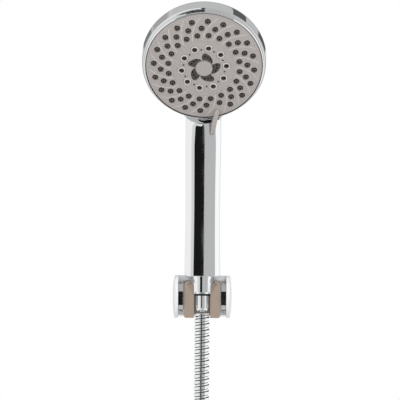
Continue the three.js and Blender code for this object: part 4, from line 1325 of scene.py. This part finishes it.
def lever():
    """The selector lever: a curved fin that grows from the face and reaches over the rim."""
    head = settings().head
    face, rim = head.face_radius / MM, head.rim_radius / MM
    ends = np.array(((12.6, 9.2 - face), (9.4, 0.2 - face), (7.7, -10.4 - rim)))
    crest = (*LEVER_CREST, *((-s, z) for s, z in LEVER_CREST[-2::-1]))
    rings, steps = [], 40
    for i in range(steps + 1):
        t = i / steps
        spot = ends[0] * (1 - t) ** 2 + ends[1] * 2 * t * (1 - t) + ends[2] * t ** 2
        way = (ends[1] - ends[0]) * (1 - t) + (ends[2] - ends[1]) * t
        side = np.array((-way[1], way[0])) / np.linalg.norm(way)
        radius = math.hypot(*spot)
        over = 0.7 + 0.62 * max(0, radius - rim - 1.5)
        low = dome(radius) - 1.2 if radius < face - 4 else over
        tip = max(0, (t - 0.85) / 0.15) ** 2
        rise = 10.5 * math.sin(math.pi * (0.02 + 0.6 * t)) - 1.6 * tip
        high = dome(min(radius, face)) + rise
        half = 2.1 * (0.6 + 2.6 * t if t < 0.15 else 1 - 0.45 * tip)
        outline = [(-half, low), (half, low), *((half * s, high + z) for s, z in crest)]
        rings.append([(*(spot + side * s), z) for s, z in outline])
    return lofted("lever", rings, HEAD, 40)


class SHOWER_OT_face(bpy.types.Operator):
    """Makes the spray face with its lever, cups, jets, crescents and fine lines"""

    bl_idname = "shower.face"
    bl_label = "Spray face"

    def execute(self, context):
        cup = settings().head.cup_radius / MM
        chamfer, deep, clear = 0.5, -9, 4
        cup_profile = [(0, deep), (cup, deep), (cup, -0.12), (cup + chamfer, chamfer - 0.12),
                       (cup + chamfer, clear), (0, clear)]
        made = turned("spray_plate", self.plate(), 180, HEAD)
        carve(made, joined("cutters", [
            many("cups", turned("cup", cup_profile, 28), nozzle_places()),
            many("jets", rod(JET_COLLAR + 0.22, deep, clear, sides=36), ring_places(*JET_RING)),
            many("pins", rod(PIN_HOLE, deep, clear, sides=16), ring_places(*PIN_RING)),
            many("crescents", crescent_prism(0, ((-4, 0), (3.6, 0), (5.2, 0.55), (8, 0.55))),
                 turns_about(VANES))]))
        carve(made, lever(), "UNION")
        dress(made, finish("face plastic"), "spray_head", "face_grey", "spray_face")
        collar = rounded([(JET_HOLE, -1.4), (JET_COLLAR, -1.4), (JET_COLLAR, 0.2),
                          (JET_HOLE + 0.55, 0.7), (JET_HOLE, 0.5)], 0.2, closed=True)
        # the jet collars and the swirl lines take the lighter collar tone; on the swirl lines it
        # is a painted highlight
        for raised in (many("jet_collars", turned("collar", collar, 36), ring_places(*JET_RING)),
                       swirl_ridges()):
            dress(raised, finish("collar plastic and painted ridge highlight"), "spray_head", "face_grey")
        return {"FINISHED"}

    def plate(self):
        """The face's section: its dome with two raised rings, its skirt, and the hub's seat."""
        face, lip, flange, spread = settings().head.face_radius / MM, FACE_EDGE - 4.6, 1.1, 0.4
        front = []
        for radius in np.linspace(HUB_EDGE, face - 0.7, 140):
            rise = sum(height * math.exp(-((radius - at) / spread) ** 2) for at, height in RIDGES)
            front.append((radius, dome(radius) + rise))
        outer, back = face - BACK_END, lip - 1.8
        skirt = [(face - 0.4, dome(face) - 0.06), (face - 0.2, dome(face) - 0.35),
                 (face - 0.2, lip + 1), (face, lip), (face + flange, lip), (face + flange, back),
                 (outer, back), (outer, dome(outer) - FACE_WALL)]
        hub = [(BACK_START, dome(BACK_START) - FACE_WALL), (5.8, 0.7), (5.8, -0.9), (2.6, -0.9),
               (2.6, 0.4), (4.8, 0.4), (4.8, 2.8), (HUB_EDGE, 2.8)]
        return [*front, *skirt, *hub]


class SHOWER_OT_nozzles(bpy.types.Operator):
    """Makes the silicone mat, the insert with its pads and the cap over the screw"""

    bl_idname = "shower.nozzles"
    bl_label = "Nozzles and insert"

    def execute(self, context):
        self.nozzles()
        low, high = -1.2, 0.4
        insert = turned("insert_plate", [(6.1, low), (15.4, low), (15.4, high), (6.1, high)], 96,
                        HEAD)
        pad = crescent_prism(0.3, ((0, 0), (3.0, 0), (3.3, -0.3)))
        carve(insert, many("pads", pad, turns_about(VANES)), "UNION")
        carve(insert, many("holes", rod(0.8, -2, 6, sides=16), [
            (x, y, 0, 0) for radius, phase in PAD_HOLES
            for x, y, *_ in ring_places(VANES, radius, phase)]))
        dress(insert, finish("dark insert"), "spray_head", "nozzle_rubber", "massage_insert")
        cap = turned("hub_cap", rounded([
            (0, 3.1), (HUB_CAP, 3.1), (HUB_CAP, 4.55), (HUB_CAP - 1.1, 5.0), (0, 5.15)], 0.7, 4),
            96, HEAD)
        dress(cap, finish("face plastic"), "spray_head", "face_grey", "centre_cap")
        return {"FINISHED"}

    def nozzles(self):
        """The mat behind the face, with the soft nozzles and the large jets that stand on it."""
        head = settings().head
        tip, face = head.nub_radius / MM, head.face_radius / MM
        outer, inner, thick = face - 1.9, 25, 1.4

        def underside(radius):
            start, end = BACK_START, face - BACK_END
            share = (radius - start) / (end - start)
            return dome(start) * (1 - share) + dome(end) * share - FACE_WALL - 0.3

        mat = turned("silicone_mat", [
            (inner, underside(inner) - thick), (outer, underside(outer) - thick),
            (outer, underside(outer)), (inner, underside(inner))], 96, HEAD)
        wide = head.cup_radius / MM - 0.12
        nub = [(0, -3.9), (wide, -3.9), (wide, -1.9), (tip + 0.7, -2.1), (tip + 0.42, 0.9),
               (tip + 0.1, 1.25), (0.95, 1.28), (0.82, 1.1), (0.72, -2.2), (0, -2.2)]
        carve(mat, many("nubs", turned("nub", nub, 24, angle=SOFT), nozzle_places(), SOFT),
              "UNION", SOFT)
        tube = rounded([(1.2, -4.6), (JET_HOLE + 0.6, -4.6), (JET_HOLE + 0.6, -2.4),
                        (JET_HOLE - 0.1, -2.4), (1.2, -3.4)], 0.2, closed=True)
        jets = many("jet_tubes", turned("tube", tube, 28), ring_places(*JET_RING))
        mat = joined("silicone_nozzles", [mat, jets], SOFT)
        dress(mat, finish("nozzle silicone"), "spray_head", "nozzle_rubber", "nozzle_mat")


# ---------------------------------------------------------------- chromed fittings


class SHOWER_OT_fittings(bpy.types.Operator):
    """Makes the rim ring, the hose's conical nut, its bush and the swaged sleeve"""

    bl_idname = "shower.fittings"
    bl_label = "Rim ring and nut"

    def execute(self, context):
        inner = settings().head.face_radius / MM + 0.5
        ring = rounded([(inner, -4.9), (inner + 0.8, -4.9), (inner + 0.8, -0.9),
                        (inner + 0.3, -0.15), (inner, -0.25)], 0.1, 3, closed=True)
        nut, thread, neck = 11.25, 9.6, 5.8
        cone = rounded([(neck, 2.8), (nut - 1.5, 2.8), (nut - 0.1, 4.4), (nut + 0.1, 23.2),
                        (nut - 0.5, 23.8), (thread, 23.8), (thread, 5.2), (neck, 5.2)],
                       0.5, 4, closed=True)
        bush = rounded([(5.8, 1.2), (8.9, 1.2), (8.9, 2.5), (5.8, 2.5)], 0.2, 2, closed=True)
        low, radius, bore, flange = HOSE_AT.z / MM, 5.5, 2.4, 9.1
        # the sleeve's lower end rounds inwards to its bore
        tip = [polar(radius, -turn) for turn in np.linspace(0, math.acos(bore / radius), 13)]
        sleeve = [(bore, 7.7), (flange, 7.7), (flange, 5.5), (radius, 5.5),
                  *((x, low + z) for x, z in tip)]
        for name, profile, sides, place, look, slot, node in (
                ("rim_ring", ring, 256, HEAD, "chromed moulding", "chromed_plastic", "bezel_ring"),
                ("conical_nut", cone, 128, AXIS, "chromed turning", "chromed_brass", "cone_nut"),
                ("nut_bush", bush, 64, AXIS, "black rubber", "seal_rubber", "cone_bush"),
                ("swaged_sleeve", sleeve, 96, AXIS, "chromed turning", "chromed_brass",
                 "hose_sleeve")):
            dress(turned(name, profile, sides, place), finish(look), "handset", slot, node)
        return {"FINISHED"}


# ---------------------------------------------------------------- wall holder


# The holder, in millimetres: its cheeks and the jaws lie this far from the middle to both sides.
CHEEK_INNER = 21.4
CHEEK_OUTER = 24.0
BARREL_TOP = 12.3
JAW_HALF = 16.0
SLOT_HALF = 7.25
# Further than any part of the holder reaches.
FAR = 70


def flat_sided(made):
    """Clears the seams that cutting leaves across flat faces."""
    with edited(made.data) as work:
        bmesh.ops.dissolve_limit(work, angle_limit=math.radians(0.4), verts=work.verts,
                                 edges=work.edges)
    return made


def holder_side(radius, back, sides=72):
    """The holder's outline seen along the tilt axis: square at the wall, round at the front."""
    spots = [polar(radius, turn) for turn in np.linspace(math.pi / 2, 3 * math.pi / 2, sides + 1)]
    return [(-0.8, -back), (-0.8, back), *((TILT_AT.y / MM + y, z) for y, z in spots)]


def pushed_across(name, outline, half):
    """An outline in the y-z plane pushed out to both sides of x = 0."""
    return lofted(name, [[(x, y, z) for y, z in outline] for x in (-half, half)])


class SHOWER_OT_holder(bpy.types.Operator):
    """Makes the wall holder's body, its two end caps and the barrel that tilts"""

    bl_idname = "shower.holder"
    bl_label = "Wall holder"

    def execute(self, context):
        sizes = settings().holder
        barrel, cheek = sizes.barrel_radius / MM, sizes.cheek_radius / MM
        self.body(barrel, cheek, sizes.edge)
        rim, foot, boss = cheek - 0.05, CHEEK_OUTER + 0.04, 5.4
        crown = [(rim * math.cos(turn), foot + 0.1 + 2.1 * math.sin(turn))
                 for turn in np.linspace(0, math.pi / 2, 24)]
        profile = [(0, CHEEK_OUTER + 1), (boss, CHEEK_OUTER + 1), (boss, foot), (rim, foot),
                   *crown[:-1], (0, crown[-1][1])]
        for side, word in ((-1, "left"), (1, "right")):
            cap = turned(f"cheek_cap_{word}", profile, 128, across(side))
            dress(cap, finish("satin plating"), "bracket", "chromed_plastic", f"end_cap_{word}")
        self.barrel(barrel, sizes.edge)
        return {"FINISHED"}

    def body(self, barrel, cheek, edge):
        """The body on the wall, hollowed for what it holds, with wells for the pivot screws."""
        y, pivot, well = TILT_AT.y / MM, 2.9, 4.9
        body = pushed_across("holder_body", holder_side(cheek, 17.2), CHEEK_OUTER)
        room, ring = barrel + 0.3, 9.3
        carve(body, [
            # between the cheeks, the barrel's room is open in front and below
            rod(room, -CHEEK_INNER, CHEEK_INNER, across(1), 128),
            block((-CHEEK_INNER, y - FAR, -FAR), (CHEEK_INNER, y + 11.5, FAR)),
            block((-CHEEK_INNER, y - FAR, -FAR), (CHEEK_INNER, y + room, 0)),
            # the wall base with its boss, and the grub screw from below
            block((-19.8, -5.3, -13.8), (19.8, FAR, 13.8)),
            block((-10.3, -11.3, -8.3), (10.3, FAR, 8.3)),
            rod(1.8, -FAR, 0, Matrix.Translation((0, -8 * MM, 0)), 32),
            # the cheeks stand a little higher than what joins them
            block((-CHEEK_INNER, -FAR + y, 18.1), (CHEEK_INNER, FAR, FAR)),
        ])
        for side in (-1, 1):
            carve(body, [rod(pivot, 0, FAR, across(side), 32),
                         rod(well, CHEEK_OUTER - 1.3, FAR, across(side), 48),
                         rod(ring, 0, CHEEK_INNER + 1, across(side), 64)])
        soften(flat_sided(body), edge, 30)
        dress(body, finish("satin plating"), "bracket", "chromed_plastic", "bracket_body")

    def barrel(self, barrel, edge):
        """The barrel, drafted towards its middle as a moulding is, with the liner's pocket."""
        y, end, pocket, pivot = TILT_AT.y / MM, CHEEK_INNER - 0.3, JAW_HALF + 0.9, 2.9
        made = turned("barrel", [(0, -end), (barrel, -end), (barrel - 0.1, 0), (barrel, end),
                                 (0, end)], 160, across(1))
        carve(made, [block((-FAR, y - FAR, BARREL_TOP), (FAR, y + FAR, FAR)),
                     block((-pocket, y - FAR, -FAR), (pocket, y + 13.5, FAR)),
                     *(rod(pivot, pocket + 0.8, FAR, across(side), 32) for side in (1, -1))])
        soften(flat_sided(made), edge, 30)
        dress(made, finish("chromed moulding"), "barrel", "chromed_plastic", "tilt_barrel")


class SHOWER_OT_liner(bpy.types.Operator):
    """Makes the split liner: two jaws with the nut's seat, the hose's slot and flat lead-ins"""

    bl_idname = "shower.liner"
    bl_label = "Split liner"

    def execute(self, context):
        barrel = settings().holder.barrel_radius / MM
        y, bottom, edge, mouth = TILT_AT.y / MM, -18.2, 1.2, 12.3
        front, floor = y - 15, BARREL_TOP - 0.6
        outline = [(JAW_HALF - edge, bottom), (JAW_HALF, bottom + edge), (JAW_HALF, BARREL_TOP),
                   (mouth, BARREL_TOP + 2.3), (SLOT_HALF, floor)]
        outline = [(-outline[0][0], bottom), *outline, *((-x, z) for x, z in outline[:0:-1])]
        made = lofted("split_liner", [[(x, depth, z) for x, z in outline]
                                      for depth in (front, y + 13.2)])
        keep = rod(barrel, -FAR, FAR, across(1), 128)
        carve(keep, block((-FAR, y - FAR, -FAR), (FAR, y, FAR)), "UNION")
        carve(made, keep, "INTERSECT")
        seat = [(0, -FAR), (9.2, -FAR), (9.2, 1.5), (11.55, 4.0), (11.6, 12), (12.6, 15.6),
                (0, FAR)]
        carve(made, turned("seat", seat, 96, AXIS))
        carve(made, block((-SLOT_HALF, y - FAR, -FAR), (SLOT_HALF, y, FAR)))
        # the flat lead-ins: one corner of each jaw's front is planed away towards the slot
        for side in (-1, 1):
            carve(made, hull("lead-in", [
                (side * 13.7, front, BARREL_TOP - 0.3), (side * SLOT_HALF, front, 0.8),
                (side * SLOT_HALF, front + 7.5, BARREL_TOP - 0.3), (0, front - 12, 30),
                (side * SLOT_HALF, front - 2, 0.4), (0, front + 7.5, BARREL_TOP + 0.4),
                (side * 13.9, front - 2, BARREL_TOP)]))
        soften(flat_sided(made), 0.3 * MM, 30)
        dress(made, finish("liner plastic"), "barrel", "liner_plastic", "holder_liner")
        # the nut and sleeve between the jaws mirror the room and not the jaws
        made.visible_glossy = False
        return {"FINISHED"}


# ---------------------------------------------------------------- inner parts


class SHOWER_OT_inside(bpy.types.Operator):
    """Gives the parts inside the handset and the holder their own materials"""

    bl_idname = "shower.inside"
    bl_label = "Inner parts"

    materials = {
        "inner plastic": ("distributor", "water_plate", "turbine", "turbine_cage", "water_tube",
                          "wall_base"),
        "black rubber": ("face_oring", "selector_seal", "tube_oring_1", "tube_oring_2",
                         "flow_limiter", "cone_washer", "friction_ring_left",
                         "friction_ring_right"),
        "fixing steel": ("detent_ball", "detent_spring", "screw_washer", "centre_screw",
                         "pivot_screw_left", "pivot_screw_right", "grub_screw"),
        "thread brass": ("thread_insert",),
    }

    def execute(self, context):
        for name, nodes in self.materials.items():
            for node in nodes:
                finish_node(node, finish(name))
        return {"FINISHED"}


# ---------------------------------------------------------------- panel and registration


def group_of(kind, name, text):
    return bpy.props.PointerProperty(type=kind, name=name, description=text)


class ShowerSettings(bpy.types.PropertyGroup):
    head: group_of(HeadSizes, "Head", "Sizes of the handset")
    holder: group_of(HolderSizes, "Holder", "Sizes of the wall holder")
    hose: group_of(HoseSizes, "Hose", "Sizes of the hose")
    finishes: group_of(Finishes, "Finishes", "Colours of the materials")
    stage: group_of(StageSettings, "Stage", "The view")


OPERATORS = (SHOWER_OT_stage, SHOWER_OT_hose, SHOWER_OT_shell, SHOWER_OT_face, SHOWER_OT_nozzles,
             SHOWER_OT_fittings, SHOWER_OT_holder, SHOWER_OT_liner, SHOWER_OT_inside)


class SHOWER_PT_panel(bpy.types.Panel):
    """Lists the operators in the order that they are used"""

    bl_label = "Shower head"
    bl_space_type = "VIEW_3D"
    bl_region_type = "UI"
    bl_category = "Shower head"

    def draw(self, context):
        for operator in OPERATORS:
            self.layout.operator(operator.bl_idname)


CLASSES = (HeadSizes, HolderSizes, HoseSizes, Finishes, StageSettings, ShowerSettings, *OPERATORS,
           SHOWER_PT_panel)


def register():
    for each in CLASSES:
        bpy.utils.register_class(each)
    bpy.types.Scene.shower = bpy.props.PointerProperty(type=ShowerSettings)


def unregister():
    del bpy.types.Scene.shower
    for each in reversed(CLASSES):
        bpy.utils.unregister_class(each)


def main():
    register()
    for operator in OPERATORS:
        group, name = operator.bl_idname.split(".")
        getattr(getattr(bpy.ops, group), name)()


if __name__ == "__main__":
    main()
